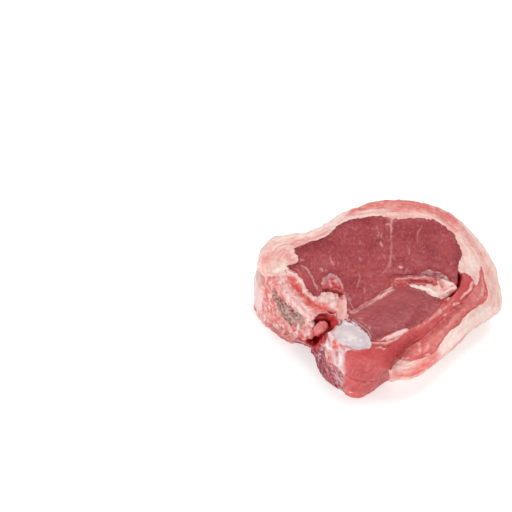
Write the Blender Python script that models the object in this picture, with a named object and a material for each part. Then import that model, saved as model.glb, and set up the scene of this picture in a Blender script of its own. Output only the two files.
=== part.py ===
"""Raw lamb loin chop, one inch thick, lying on its cut face.

The chop is a slice across the loin, so every tissue in it is a column that runs from the lower cut
face (z = 0) to the upper one.  The plan of the upper face is a map of seams.  Each seam is shared by
the two tissues it parts, and each tissue stays half a gap clear of it.  The columns are lofted, since
their lower and upper sections differ: the outer wall is rounded and bellied, and under the flank the
whole section draws in towards the foot.  The vertebra is one such column, cut with Booleans into
lamina, body and disc along the slanted spine, with the spinal canal as a groove in its sawn face.

Plan points are in millimetres, +X towards the flank and +Y towards the fat over the back.
"""
import math

import bmesh
import bpy
import numpy as np
from mathutils import Matrix, Vector
from mathutils.geometry import delaunay_2d_cdt

# ---------------------------------------------------------------- driving sizes
MM = 0.001
THICKNESS = 25.4            # of the chop, mm
GAP = 0.15                  # half the space between two neighbours, mm
WIDE_GAP = 0.34             # half the open seams beside the facet joint and the rib fat, mm
FLANK_GAP = 0.2             # half the space between the flank's layers, which lean, mm
OPEN_GAP = 0.6              # half the open cleft between loin eye and flank, mm
STEP = 2.3                  # spacing of points along a seam, mm
CELL = 5.2                  # spacing of points inside a face, mm
EDGE_ROUND = 0.45           # softened edge where two tissues meet, mm
EDGE_SHARE = 0.32           # most that an upper edge's round takes of the width there
MITRE_LIMIT = 8.0           # longest corner of a set-back outline, in set-backs
NEARLY_STRAIGHT = 0.17      # sine of the bend below which a corner needs no mitre
FOOT_ROUND = 0.9            # softened lower edge of the outer wall, mm
BEVEL_SHARE = 0.3           # share of a round that its upper facet takes
MID_LEVEL = 0.5             # share of the height where a wall's belly is widest
CROWN_REACH = 2.0           # how far in from its edge a tissue's face swells, mm
CELL_CLEARANCE = 0.38       # distance of the inner points from the edge, in cells
SPAN_SAMPLES = 12           # samples of a curve between two of its points

FLANK_AXIS = (0.66, -0.75)  # plan direction from the loin eye out over the flank
FLANK_DROP = (20.0, 16.0, 8.4)   # start and length along FLANK_AXIS, depth, mm
RIGHT_DROP = (30.0, 14.0, 3.0)   # start and length along +X, depth, mm
UNDERCUT = (5.0, 33.0)           # where the foot draws in: start and length along FLANK_AXIS, mm
UNDERCUT_BACK = (-10.0, 16.0, 11.0)  # start and length along +X, draw-in along +Y, mm
UNDERCUT_LEFT = (4.0, 24.0, 6.5)   # start and length along +X, draw-in along -X, mm
TAIL_SAG = ((6.0, -38.0), 19.0)    # middle and reach of the sagging tail of the flank, mm

# ---------------------------------------------------------------- sawn face and spine
SAW_START = (-45.7, 2.5)    # plan point where the sawn face begins, at the tip of the spine
SAW_DIR = (0.662, -0.749)   # along the sawn face, towards the belly
SPINE_LEAN = -11.3          # how far the spine moves along the sawn face, top to foot, mm
CANAL_AT = (34.1, 0.8)      # canal centre at the top: along and behind the sawn face, mm
CANAL_RADIUS = 4.3
CANAL_SIDES = 28
CORD_RADIUS = 2.5
CORD_BEHIND = 1.3           # cord centre behind the sawn face, mm
CORD_TOP = 23.2             # height of the cord's cut end, mm
CORD_STATIONS = (           # depth below the cut end, mm, and share of the radius
    (8.5, 0.45), (7.9, 0.72), (6.5, 0.92), (3.4, 1.0), (1.7, 1.0), (0.6, 0.84), (0.0, 0.5))
DISC_FLOOR = ((36.3, 14.5), (46.8, 0.6))   # along the sawn face and height, two points, mm
DISC_CLEARANCE = 0.3
# Corners of three planes, each point along and behind the sawn face and its height, mm: the upper and
# lower sides of the tissue that bridges the canal, and the broken foot of the body beside it.
BRIDGE_TOP = ((18.0, 0.0, 7.0), (28.0, 0.0, 8.6), (22.0, 6.0, 7.8))
BRIDGE_FLOOR = ((17.0, 0.0, 0.4), (22.0, 6.0, 3.0), (27.5, 0.0, 6.0))
BODY_CHIP = ((28.2, 0.0, 7.2), (25.2, 5.0, 0.0), (32.2, 0.0, 0.0))
BRIDGE_CLEARANCE = 0.3
BLOCK_SIZE = 120.0          # cutters that must pass right through the chop, mm

# ---------------------------------------------------------------- seams
# Where three tissues meet, or two tissues and the outer wall.
HEEL = (-44.8, 1.4)
CREST = (-39.4, 0.6)
TIP_CUT = (-41.7, -2.0)
NOTCH = (-35.6, 3.4)
HORN = (-32.0, 8.0)
PIT = (-24.6, -10.8)
FACET_LEFT = (-22.8, -7.4)
FACET_MID = (-17.4, -8.2)
FACET_RIGHT = (-14.7, -8.8)
PEDICLE = (-17.7, -20.4)
CROSSING = (-13.6, -20.2)
KEEL = (-5.2, -31.8)
CORNER = (-15.6, -35.3)
RIB_ROOT = (4.5, -4.9)
RIB_UPPER = (12.0, 0.3)
RIB_LOWER = (9.2, -4.7)
CLEFT_TOP = (29.9, 2.8)
CLEFT_MID = (28.4, -5.0)
CLEFT_END = (22.8, -10.6)
FORK = (35.4, -2.2)
SLIVER = (38.4, 8.0)
TAIL = (5.4, -34.2)
TAIL_RIM = (1.2, -38.9)

# name: (half gap, points)
SEAMS = {
    "fat_cartilage": (GAP, [HEEL, (-42.5, 0.8), CREST]),
    "lamina_cartilage": (GAP, [CREST, (-40.2, -1.0), TIP_CUT]),
    "fat_lamina": (GAP, [CREST, (-37.6, 0.7), (-36.6, 1.7), NOTCH]),
    "fat_multifidus": (GAP, [NOTCH, (-36.3, 5.6), (-34.2, 6.9), HORN]),
    "fat_eye": (GAP, [
        HORN, (-32.4, 10.2), (-33.3, 12.6), (-33.4, 15.3), (-31.0, 16.6), (-27.6, 18.8),
        (-22.3, 20.6), (-19.5, 23.0), (-15.0, 28.0), (-11.0, 30.5), (-5.0, 31.8), (0.0, 32.2),
        (3.4, 31.5), (5.3, 29.9), (7.2, 30.6), (12.0, 31.0), (17.0, 30.9), (21.5, 30.0),
        (25.5, 27.5), (28.5, 23.5), (30.7, 19.0), (31.2, 14.5), (31.0, 10.0), (29.2, 5.8),
        CLEFT_TOP]),
    "fat_inner": (FLANK_GAP, [CLEFT_TOP, (31.2, 2.2), (33.2, 1.6), (34.7, 0.2), FORK]),
    "fat_sliver": (FLANK_GAP, [FORK, (36.8, -0.3), (37.6, 2.2), (37.9, 5.2), SLIVER]),
    "fat_outer": (FLANK_GAP, [
        SLIVER, (39.4, 4.2), (40.5, 0.5), (41.0, -2.5), (39.6, -5.6), (37.0, -8.2), (34.0, -11.0),
        (31.0, -14.2), (28.5, -18.0), (26.0, -20.0), (23.0, -23.5), (20.5, -27.0), (19.0, -30.2),
        (16.5, -31.3), (14.0, -32.6), (10.0, -34.0), TAIL]),
    "fat_crease": (FLANK_GAP, [TAIL, (3.4, -35.8), TAIL_RIM]),
    "inner_outer": (FLANK_GAP, [
        FORK, (33.2, -5.8), (31.0, -8.6), (25.0, -14.2), (19.5, -20.3), (13.0, -26.5),
        (7.6, -30.6), TAIL]),
    "eye_multifidus": (GAP, [
        PIT, (-25.2, -6.6), (-26.4, -2.8), (-28.2, 1.2), (-30.0, 4.2), HORN]),
    "lamina_multifidus": (GAP, [
        NOTCH, (-33.0, 1.8), (-30.8, -0.3), (-30.0, -3.8), (-28.5, -7.0), (-26.6, -10.1), PIT]),
    "lamina_eye": (GAP, [PIT, (-23.4, -9.8), FACET_LEFT]),
    "lamina_cap": (WIDE_GAP, [FACET_LEFT, (-20.8, -6.4), (-18.9, -6.8), FACET_MID]),
    "lamina_facet": (WIDE_GAP, [FACET_MID, (-17.2, -11.0), (-17.6, -15.5), PEDICLE]),
    "cap_eye": (GAP, [
        FACET_LEFT, (-23.0, -4.5), (-22.6, -1.2), (-20.8, 0.6), (-18.8, 1.2), (-17.2, 0.2),
        (-15.9, -3.0), (-15.0, -6.3), FACET_RIGHT]),
    "cap_facet": (WIDE_GAP, [FACET_MID, FACET_RIGHT]),
    "facet_eye": (GAP, [FACET_RIGHT, (-13.9, -12.0), (-14.0, -17.0), CROSSING]),
    "facet_vertebra": (GAP, [PEDICLE, (-16.2, -21.3), (-14.8, -21.3), CROSSING]),
    "tender_vertebra": (GAP, [CROSSING, (-11.2, -22.4), (-8.8, -25.2), (-6.8, -28.6), KEEL]),
    "inner_vertebra": (GAP, [KEEL, (-5.8, -33.9), (-8.2, -35.2), (-12.0, -35.7), CORNER]),
    "eye_tender": (GAP, [
        CROSSING, (-12.2, -17.8), (-10.0, -16.1), (-5.0, -12.6), (0.0, -8.2), RIB_ROOT]),
    "eye_rib": (GAP, [RIB_ROOT, (4.3, -2.6), (5.4, -0.6), (8.5, -0.1), RIB_UPPER]),
    "tender_rib": (GAP, [RIB_ROOT, (6.8, -4.4), RIB_LOWER]),
    "seamfat_rib": (GAP, [
        RIB_UPPER, (15.5, -0.2), (19.0, -0.6), (21.0, -1.6), (21.2, -3.4), (19.5, -4.3),
        (15.5, -4.0), RIB_LOWER]),
    "eye_seamfat": (GAP, [
        RIB_UPPER, (14.2, 1.5), (16.3, 2.4), (18.2, 3.6), (20.6, 2.8), (23.4, 1.3), (25.2, -1.4),
        CLEFT_MID]),
    "seamfat_tender": (GAP, [
        RIB_LOWER, (12.0, -5.4), (14.6, -6.4), (16.6, -7.8), (18.2, -9.5), (20.4, -10.1),
        CLEFT_END]),
    "seamfat_inner": (WIDE_GAP, [CLEFT_MID, (26.8, -7.3), (24.8, -9.2), CLEFT_END]),
    "eye_inner": (OPEN_GAP, [CLEFT_TOP, (29.7, 0.0), (29.2, -2.6), CLEFT_MID]),
    "tender_inner": (FLANK_GAP, [
        CLEFT_END, (21.6, -13.0), (19.0, -16.2), (15.0, -20.0), (11.0, -23.2), (7.0, -25.8),
        (2.0, -28.6), (-2.0, -30.2), KEEL]),
}

# Stretches of the outer wall: (points, profile), where the profile's rows are the fraction along the
# stretch, the round of the upper edge, and how far the wall bulges out at mid height and at the foot.
WALLS = {
    "fat_wall": ([
        HEEL, (-47.3, 5.0), (-48.0, 9.5), (-46.8, 14.2), (-44.2, 19.4), (-40.4, 23.2),
        (-37.2, 22.9), (-33.0, 23.7), (-28.0, 24.3), (-24.0, 26.5), (-20.0, 30.0), (-14.0, 34.5),
        (-8.0, 38.3), (-2.0, 41.1), (3.0, 42.2), (9.0, 42.5), (15.0, 41.8), (21.4, 39.9),
        (27.6, 36.7), (32.8, 32.2), (37.3, 26.6), (41.0, 20.9), (44.0, 13.3), (46.0, 6.2),
        (47.6, 0.0), (47.0, -6.6), (42.6, -11.2), (36.6, -16.3), (31.6, -22.1), (22.6, -31.7),
        (17.5, -36.7), (12.3, -40.3), (8.0, -41.8), (4.6, -41.8), (2.3, -40.8), TAIL_RIM],
        [(0.00, 1.6, 1.2, 2.8), (0.06, 2.6, 0.6, -0.6), (0.16, 1.6, 0.5, -0.8),
         (0.40, 2.2, 0.8, -1.4), (0.66, 2.8, 0.6, -1.6), (0.80, 2.6, 0.2, -0.8),
         (0.95, 2.4, -0.8, -1.4), (1.00, 1.6, -1.2, -2.0)]),
    "lobe_wall": ([
        TAIL_RIM, (-1.5, -38.6), (-5.0, -38.1), (-10.0, -37.9), (-13.6, -37.0), CORNER],
        [(0.00, 1.6, -1.2, -2.0), (0.25, 3.0, 0.8, 0.0), (0.70, 1.5, 1.7, 1.0),
         (1.00, 0.6, 0.4, 0.3)]),
    "vertebra_wall": ([
        CORNER, (-17.6, -32.7), (-19.4, -29.7), (-21.4, -26.0), (-26.0, -19.8), (-30.0, -15.2),
        (-36.0, -8.5), TIP_CUT],
        [(0.00, 0.6, 0.4, 0.3), (0.22, 0.6, 1.0, 2.4), (0.38, 0.6, 0.8, 1.6), (0.60, 0.8, 0.3, 0.8),
         (0.80, 0.8, 1.0, 2.8), (1.00, 0.8, 1.2, 3.2)]),
    "cartilage_wall": ([TIP_CUT, HEEL], [(0.0, 0.8, 1.2, 3.2), (1.0, 1.6, 1.2, 2.8)]),
}

# The disc's outline where it lies in the vertebra; past the sawn face and the flank it runs free.
DISC_OUTLINE = [
    (-16.0, -21.9), (-13.2, -22.2), (-10.6, -24.0), (-8.4, -26.9), (-6.8, -30.2), (-6.1, -33.0),
    (-6.6, -38.5), (-15.0, -39.5), (-24.0, -33.0), (-22.5, -27.4), (-19.6, -25.3), (-18.0, -23.4)]

# name: (outline, crown, sag, colour, roughness), where the outline names its stretches in order round the
# tissue.  The crown is how far the face swells and the sag how far it drops at the tail, mm.
TISSUES = {
    "fat_cover": (
        ["fat_wall", "fat_crease", "fat_outer", "fat_sliver", "fat_inner", "fat_eye",
         "fat_multifidus", "fat_lamina", "fat_cartilage"],
        0.5, 4.5, (0.90, 0.72, 0.64), 0.38),
    "loin_eye": (
        ["fat_eye", "eye_inner", "eye_seamfat", "eye_rib", "eye_tender", "facet_eye",
         "cap_eye", "lamina_eye", "eye_multifidus"],
        0.5, 0.0, (0.42, 0.085, 0.095), 0.36),
    "multifidus": (
        ["fat_multifidus", "eye_multifidus", "lamina_multifidus"],
        0.4, 0.0, (0.45, 0.09, 0.09), 0.36),
    "tenderloin": (
        ["eye_tender", "tender_rib", "seamfat_tender", "tender_inner", "tender_vertebra"],
        0.7, 0.0, (0.44, 0.10, 0.105), 0.36),
    "flank_inner": (
        ["fat_inner", "inner_outer", "fat_crease", "lobe_wall", "inner_vertebra", "tender_inner",
         "seamfat_inner", "eye_inner"],
        0.9, 0.4, (0.60, 0.13, 0.12), 0.34),
    "flank_outer": (
        ["fat_sliver", "fat_outer", "inner_outer"],
        1.0, 3.6, (0.60, 0.15, 0.13), 0.34),
    "seam_fat": (
        ["eye_seamfat", "seamfat_inner", "seamfat_tender", "seamfat_rib"],
        0.3, 0.0, (0.88, 0.70, 0.62), 0.38),
    "transverse_process": (
        ["eye_rib", "seamfat_rib", "tender_rib"],
        -0.3, 0.0, (0.50, 0.12, 0.12), 0.5),
    "facet_cap": (
        ["cap_eye", "cap_facet", "lamina_cap"],
        0.3, 0.0, (0.62, 0.32, 0.33), 0.42),
    "facet_process": (
        ["lamina_facet", "facet_vertebra", "facet_eye", "cap_facet"],
        0.4, 0.0, (0.80, 0.52, 0.48), 0.42),
    "spine_cartilage": (
        ["fat_cartilage", "lamina_cartilage", "cartilage_wall"],
        0.3, 0.0, (0.82, 0.60, 0.58), 0.4),
}
VERTEBRA = (
    ["fat_lamina", "lamina_multifidus", "lamina_eye", "lamina_cap", "lamina_facet",
     "facet_vertebra", "tender_vertebra", "inner_vertebra", "vertebra_wall", "lamina_cartilage"],
    0.2, 0.0)
LAMINA_LOOK = ((0.70, 0.40, 0.37), 0.45)
BODY_LOOK = ((0.45, 0.14, 0.17), 0.5)
DISC_LOOK = ((0.78, 0.74, 0.76), 0.22)
CORD_LOOK = ((0.72, 0.32, 0.31), 0.35)
BRIDGE_LOOK = ((0.50, 0.16, 0.18), 0.4)


# ---------------------------------------------------------------- plan curves
def spline(points, step, closed=False):
    """Centripetal Catmull-Rom curve through the points, read at nearly even steps."""
    knots = [np.array(point, dtype=float) for point in points]
    if closed:
        knots = [knots[-1]] + knots + knots[:2]
    else:
        knots = [2.0 * knots[0] - knots[1]] + knots + [2.0 * knots[-1] - knots[-2]]
    dense = []
    for p0, p1, p2, p3 in zip(knots, knots[1:], knots[2:], knots[3:]):
        t1 = math.sqrt(np.linalg.norm(p1 - p0))
        t2 = t1 + math.sqrt(np.linalg.norm(p2 - p1))
        t3 = t2 + math.sqrt(np.linalg.norm(p3 - p2))
        for t in np.linspace(t1, t2, SPAN_SAMPLES, endpoint=False):
            a1 = (t1 - t) / t1 * p0 + t / t1 * p1
            a2 = (t2 - t) / (t2 - t1) * p1 + (t - t1) / (t2 - t1) * p2
            a3 = (t3 - t) / (t3 - t2) * p2 + (t - t2) / (t3 - t2) * p3
            b1 = (t2 - t) / t2 * a1 + t / t2 * a2
            b2 = (t3 - t) / (t3 - t1) * a2 + (t - t1) / (t3 - t1) * a3
            dense.append((t2 - t) / (t2 - t1) * b1 + (t - t1) / (t2 - t1) * b2)
    dense.append(knots[-2])
    dense = np.array(dense)
    along = np.concatenate([[0.0], np.cumsum(np.linalg.norm(np.diff(dense, axis=0), axis=1))])
    count = max(1, round(along[-1] / step))
    places = np.linspace(0.0, along[-1], count + 1)
    curve = np.column_stack([np.interp(places, along, dense[:, axis]) for axis in range(2)])
    return curve[:-1] if closed else curve


def inset(loop, distances):
    """Move each side of a clockwise loop inward by its own distance, with mitred corners."""
    sides = np.roll(loop, -1, axis=0) - loop
    sides /= np.linalg.norm(sides, axis=1)[:, None]
    inward = np.column_stack([sides[:, 1], -sides[:, 0]])
    moved = loop.copy()
    for index in range(len(loop)):
        pair = np.array([inward[index - 1], inward[index]])
        wanted = np.array([distances[index - 1], distances[index]])
        if abs(np.linalg.det(pair)) < NEARLY_STRAIGHT:
            moved[index] += pair.mean(axis=0) * wanted.mean()
        else:
            miter = np.linalg.solve(pair, wanted)
            reach = MITRE_LIMIT * np.abs(wanted).max() / max(np.linalg.norm(miter), 1e-9)
            moved[index] += miter * min(1.0, reach)
    return moved


def smooth_step(value):
    """0 to 1 with level ends."""
    clipped = np.clip(value, 0.0, 1.0)
    return clipped * clipped * (3.0 - 2.0 * clipped)


def flank_place(plan):
    """How far out over the flank a plan point lies, mm."""
    return plan[..., 0] * FLANK_AXIS[0] + plan[..., 1] * FLANK_AXIS[1]


def face_height(plan):
    """Height of the upper cut face, which falls away over the flank, mm."""
    flank = smooth_step((flank_place(plan) - FLANK_DROP[0]) / FLANK_DROP[1])
    right = smooth_step((plan[..., 0] - RIGHT_DROP[0]) / RIGHT_DROP[1])
    return THICKNESS - FLANK_DROP[2] * flank - RIGHT_DROP[2] * right


def tail_sag(plan):
    """Share of a tissue's sag that a plan point takes, most at the tail of the flank."""
    middle, reach = TAIL_SAG
    return smooth_step(1.0 - np.linalg.norm(plan - np.array(middle), axis=-1) / reach)


def foot_shift(plan):
    """How far the section at the foot is drawn in under the flank, mm."""
    reach = smooth_step((flank_place(plan) - UNDERCUT[0]) / UNDERCUT[1])
    left = smooth_step((plan[..., 0] - UNDERCUT_LEFT[0]) / UNDERCUT_LEFT[1])
    back = smooth_step((plan[..., 0] - UNDERCUT_BACK[0]) / UNDERCUT_BACK[1])
    return np.stack([-UNDERCUT_LEFT[2] * reach * left, UNDERCUT_BACK[2] * reach * back], axis=-1)


def sawn_plan(along, behind):
    """Plan point a distance along the sawn face and behind it."""
    direction = np.array(SAW_DIR)
    inward = np.array([-direction[1], direction[0]])
    return np.array(SAW_START) + along * direction + behind * inward


# ---------------------------------------------------------------- outlines
class Wall:
    """A stretch of the outer wall: its plan points, outward normals and profile rows."""

    def __init__(self, points, profile):
        self.points = spline(points, STEP)
        rows = np.array(profile)
        places = np.linspace(0.0, 1.0, len(self.points))
        self.rows = np.column_stack([np.interp(places, rows[:, 0], rows[:, k]) for k in (1, 2, 3)])
        self.normals = None


def outer_walls():
    """The wall's stretches, clockwise, with normals that agree where two stretches meet."""
    walls = {name: Wall(points, profile) for name, (points, profile) in WALLS.items()}
    ring = np.vstack([wall.points[:-1] for wall in walls.values()])
    tangents = np.roll(ring, -1, axis=0) - np.roll(ring, 1, axis=0)
    tangents /= np.linalg.norm(tangents, axis=1)[:, None]
    normals = np.column_stack([-tangents[:, 1], tangents[:, 0]])
    start = 0
    for wall in walls.values():
        end = start + len(wall.points)
        wall.normals = normals[np.arange(start, end) % len(ring)]
        start = end - 1
    return walls


class Outline:
    """A tissue's closed plan outline, clockwise, set back from its seams by their half gaps."""

    def __init__(self, stretches, walls):
        chain = []
        for name in stretches:
            wall = walls.get(name)
            gap, points = (0.0, wall.points) if wall else (SEAMS[name][0], spline(SEAMS[name][1], STEP))
            turned = bool(chain) and np.linalg.norm(points[0] - chain[-1][0][-1]) > 1e-6
            order = slice(None, None, -1) if turned else slice(None)
            rows = wall.rows[order] if wall else None
            normals = wall.normals[order] if wall else None
            chain.append((points[order], gap, rows, normals))
        loop = np.vstack([link[0][:-1] for link in chain])
        gaps = np.concatenate([np.full(len(link[0]) - 1, link[1]) for link in chain])
        self.walled = np.zeros(len(loop), dtype=bool)
        self.rows = np.tile([EDGE_ROUND, 0.0, 0.0], (len(loop), 1))
        outward = np.zeros((len(loop), 2))
        start = 0
        for points, _, rows, normals in chain:
            spots = np.arange(start, start + len(points)) % len(loop)
            if rows is not None:
                self.walled[spots] = True
                self.rows[spots] = rows
                outward[spots] = normals
            start += len(points) - 1
        if signed_area(loop) > 0.0:
            loop = loop[::-1]
            gaps = np.roll(gaps[::-1], -1)
            self.walled = self.walled[::-1]
            self.rows = self.rows[::-1]
            outward = outward[::-1]
        self.loop = inset(loop, gaps)
        back = self.loop - inset(self.loop, np.ones(len(loop)))
        back /= np.linalg.norm(back, axis=1)[:, None]
        self.outward = np.where(self.walled[:, None], outward, back)
        narrow = EDGE_SHARE * width_inward(self.loop, self.outward)
        self.rows[:, 0] = np.minimum(self.rows[:, 0], narrow)


def signed_area(loop):
    """Area of a closed loop, negative when it runs clockwise."""
    after = np.roll(loop, -1, axis=0)
    return 0.5 * np.sum(loop[:, 0] * after[:, 1] - after[:, 0] * loop[:, 1])


def width_inward(loop, outward):
    """How far each corner of a loop can look inward before it meets another side."""
    sides = np.roll(loop, -1, axis=0) - loop
    widths = np.full(len(loop), np.inf)
    for index, (point, ray) in enumerate(zip(loop, -outward)):
        across = ray[0] * sides[:, 1] - ray[1] * sides[:, 0]
        across[[index - 1, index]] = 0.0
        hit = np.abs(across) > 1e-9
        gap = loop[hit] - point
        reach = (gap[:, 0] * sides[hit, 1] - gap[:, 1] * sides[hit, 0]) / across[hit]
        share = (gap[:, 0] * ray[1] - gap[:, 1] * ray[0]) / across[hit]
        found = reach[(reach > 0.0) & (share >= 0.0) & (share <= 1.0)]
        widths[index] = found.min(initial=np.inf)
    return widths


def edge_distance(points, loop):
    """Distance of each point from the nearest side of a closed loop."""
    sides = np.roll(loop, -1, axis=0) - loop
    away = points[:, None, :] - loop[None, :, :]
    share = np.clip((away * sides).sum(axis=2) / (sides ** 2).sum(axis=1), 0.0, 1.0)
    return np.linalg.norm(away - share[..., None] * sides, axis=2).min(axis=1)


def inside(points, loop):
    """Which points a closed loop surrounds."""
    after = np.roll(loop, -1, axis=0)
    x, y = points[:, 0, None], points[:, 1, None]
    spans = (loop[:, 1] > y) != (after[:, 1] > y)
    rise = np.where(after[:, 1] == loop[:, 1], 1.0, after[:, 1] - loop[:, 1])
    crossing = loop[:, 0] + (y - loop[:, 1]) * (after[:, 0] - loop[:, 0]) / rise
    return (spans & (x < crossing)).sum(axis=1) % 2 == 1


def inner_points(loop, spacing):
    """A staggered grid of points well inside a closed loop."""
    low, high = loop.min(axis=0), loop.max(axis=0)
    row_height = spacing * math.sqrt(0.75)
    grid = []
    for row, y in enumerate(np.arange(low[1], high[1], row_height)):
        offset = 0.5 * spacing * (row % 2)
        grid.extend((x, y) for x in np.arange(low[0] + offset, high[0], spacing))
    grid = np.array(grid)
    keep = inside(grid, loop) & (edge_distance(grid, loop) > CELL_CLEARANCE * spacing)
    return grid[keep]


# ---------------------------------------------------------------- solids
def fill_loop(loop, extra):
    """Triangles over a closed loop and the extra points inside it, as vertex numbers."""
    points = [Vector(point) for point in np.vstack([loop, extra])]
    ring = list(range(len(loop)))
    _, _, faces, origins, _, _ = delaunay_2d_cdt(points, [], [ring], 1, 1e-5)
    return [[origins[corner][0] for corner in face] for face in faces]


def column_mesh(name, outline, crown, sag):
    """Loft a tissue from the flat foot to the uneven upper face, as a closed mesh in metres."""
    loop = outline.loop
    full_height = face_height(loop)
    height = full_height - sag * tail_sag(loop)
    round_, belly, foot = outline.rows.T
    flush = np.zeros(len(loop))
    if outline.walled.any():
        soft = np.where(outline.walled, FOOT_ROUND, 0.0)
        levels = [
            (flush, foot - soft),
            (flush + FOOT_ROUND, foot),
            (MID_LEVEL * height, belly),
            (height - round_, flush),
            (height - BEVEL_SHARE * round_, -BEVEL_SHARE * round_),
            (height, -round_)]
    else:
        levels = [
            (flush, flush),
            (MID_LEVEL * height, flush),
            (height - round_, flush),
            (height, -round_)]
    rings = []
    for level, outset in levels:
        lean = foot_shift(loop) * (1.0 - level / full_height)[:, None]
        plan = loop + outline.outward * outset[:, None] + lean
        rings.append(np.column_stack([plan, level]))
    top_plan = rings[-1][:, :2]
    inner = inner_points(top_plan, CELL)
    swell = crown * (1.0 - np.exp(-edge_distance(inner, top_plan) / CROWN_REACH))
    top_inner = np.column_stack([inner, face_height(inner) - sag * tail_sag(inner) + swell])

    mesh = bmesh.new()
    vertices = [[mesh.verts.new(point * MM) for point in ring] for ring in rings]
    top = vertices[-1] + [mesh.verts.new(point * MM) for point in top_inner]
    for face in fill_loop(top_plan, inner):
        mesh.faces.new([top[corner] for corner in face])
    for face in fill_loop(rings[0][:, :2], np.empty((0, 2))):
        mesh.faces.new([vertices[0][corner] for corner in reversed(face)])
    out = flank_place(loop)
    for lower, upper in zip(vertices, vertices[1:]):
        for index in range(len(loop)):
            # Leaning walls are twisted, so both sides of a seam are split along the same diagonal.
            near, far = sorted((index - 1, index), key=lambda corner: out[corner])
            mesh.faces.new([lower[near], upper[near], lower[far]])
            mesh.faces.new([upper[near], upper[far], lower[far]])
    bmesh.ops.recalc_face_normals(mesh, faces=mesh.faces)
    return finish_mesh(mesh, name)


def finish_mesh(mesh, name):
    """Turn a bmesh into mesh data."""
    data = bpy.data.meshes.new(name)
    mesh.to_mesh(data)
    mesh.free()
    return data


def place(name, data, collection):
    """Put mesh data in a new object whose origin is the middle of its box."""
    corners = np.array([vertex.co for vertex in data.vertices])
    middle = Vector((corners.min(axis=0) + corners.max(axis=0)) / 2.0)
    data.transform(Matrix.Translation(-middle))
    item = bpy.data.objects.new(name, data)
    item.location = middle
    collection.objects.link(item)
    return item


def paint(item, colour, roughness):
    """Give an object its own material."""
    material = bpy.data.materials.new(item.name)
    material.use_nodes = True
    shader = material.node_tree.nodes["Principled BSDF"]
    shader.inputs["Base Color"].default_value = (*colour, 1.0)
    shader.inputs["Roughness"].default_value = roughness
    item.data.materials.clear()
    item.data.materials.append(material)


def cut(item, cutter, operation):
    """Add a Boolean modifier."""
    modifier = item.modifiers.new(cutter.name, "BOOLEAN")
    modifier.operation = operation
    modifier.solver = "EXACT"
    modifier.object = cutter


# ---------------------------------------------------------------- spine and its cutters
def spine_point(along, behind, height):
    """A point that moves with the spine: where it is on the upper face, then down to a height."""
    slide = SPINE_LEAN * (1.0 - height / THICKNESS)
    plan = sawn_plan(along + slide, behind)
    return Vector((plan[0], plan[1], height)) * MM


def spine_frame(along, behind):
    """Axes of the spine: across it towards the belly, behind the sawn face, and up it."""
    up = (spine_point(along, behind, THICKNESS) - spine_point(along, behind, 0.0)).normalized()
    across = Vector((SAW_DIR[0], SAW_DIR[1], 0.0))
    behind_axis = up.cross(across).normalized()
    across = behind_axis.cross(up)
    frame = Matrix((across, behind_axis, up)).transposed().to_4x4()
    return Matrix.Translation(spine_point(along, behind, THICKNESS / 2.0)) @ frame


def cutter_object(name, data, collection, matrix):
    """Put cutter geometry in the cutters' collection, unseen in renders."""
    item = bpy.data.objects.new(name, data)
    item.matrix_world = matrix
    item.hide_render = True
    item.display_type = "WIRE"
    collection.objects.link(item)
    return item


def half_space(name, side, collection):
    """A block on one side of the plane through the canal across the vertebra."""
    mesh = bmesh.new()
    bmesh.ops.create_cube(mesh, size=BLOCK_SIZE * MM)
    offset = side * (BLOCK_SIZE / 2.0 + GAP) * MM
    bmesh.ops.translate(mesh, verts=mesh.verts, vec=(offset, 0.0, 0.0))
    return cutter_object(name, finish_mesh(mesh, name), collection, spine_frame(*CANAL_AT))


def canal_cutter(name, clearance, collection):
    """The spinal canal's round bore, along the spine, smaller by a clearance."""
    mesh = bmesh.new()
    radius = (CANAL_RADIUS - clearance) * MM
    bmesh.ops.create_cone(
        mesh, cap_ends=True, segments=CANAL_SIDES, radius1=radius, radius2=radius,
        depth=BLOCK_SIZE * MM)
    return cutter_object(name, finish_mesh(mesh, name), collection, spine_frame(*CANAL_AT))


def plane_cutter(name, corners, collection):
    """A block on the plane through three corners, on the side that sees them run anticlockwise."""
    first, second, third = [
        Vector((*sawn_plan(along, behind), height)) * MM for along, behind, height in corners]
    normal = (second - first).cross(third - first).normalized()
    mesh = bmesh.new()
    bmesh.ops.create_cube(mesh, size=BLOCK_SIZE * MM)
    bmesh.ops.translate(mesh, verts=mesh.verts, vec=(0.0, 0.0, BLOCK_SIZE / 2.0 * MM))
    frame = Matrix.Translation(first) @ normal.to_track_quat("Z", "Y").to_matrix().to_4x4()
    return cutter_object(name, finish_mesh(mesh, name), collection, frame)


def curve_mesh(name, curve):
    """The surface of a curve as a bmesh."""
    source = bpy.data.objects.new(name, curve)
    bpy.context.scene.collection.objects.link(source)
    evaluated = source.evaluated_get(bpy.context.evaluated_depsgraph_get())
    data = bpy.data.meshes.new_from_object(evaluated)
    bpy.data.objects.remove(source)
    mesh = bmesh.new()
    mesh.from_mesh(data)
    bmesh.ops.remove_doubles(mesh, verts=mesh.verts, dist=1e-7)
    return mesh


def polyline(curve, points):
    """Add a straight-sided spline through the points, in metres."""
    path = curve.splines.new("POLY")
    path.points.add(len(points) - 1)
    for corner, point in zip(path.points, points):
        corner.co = (*point, 1.0)
    return path


def disc_floor(clearance):
    """A point and the downward normal of the plane under the disc."""
    near, far = [Vector((*sawn_plan(along, 0.0), height)) * MM for along, height in DISC_FLOOR]
    behind_axis = Vector((-SAW_DIR[1], SAW_DIR[0], 0.0))
    normal = (far - near).cross(behind_axis).normalized()
    if normal.z > 0.0:
        normal.negate()
    return near + normal * clearance * MM, normal


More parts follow.
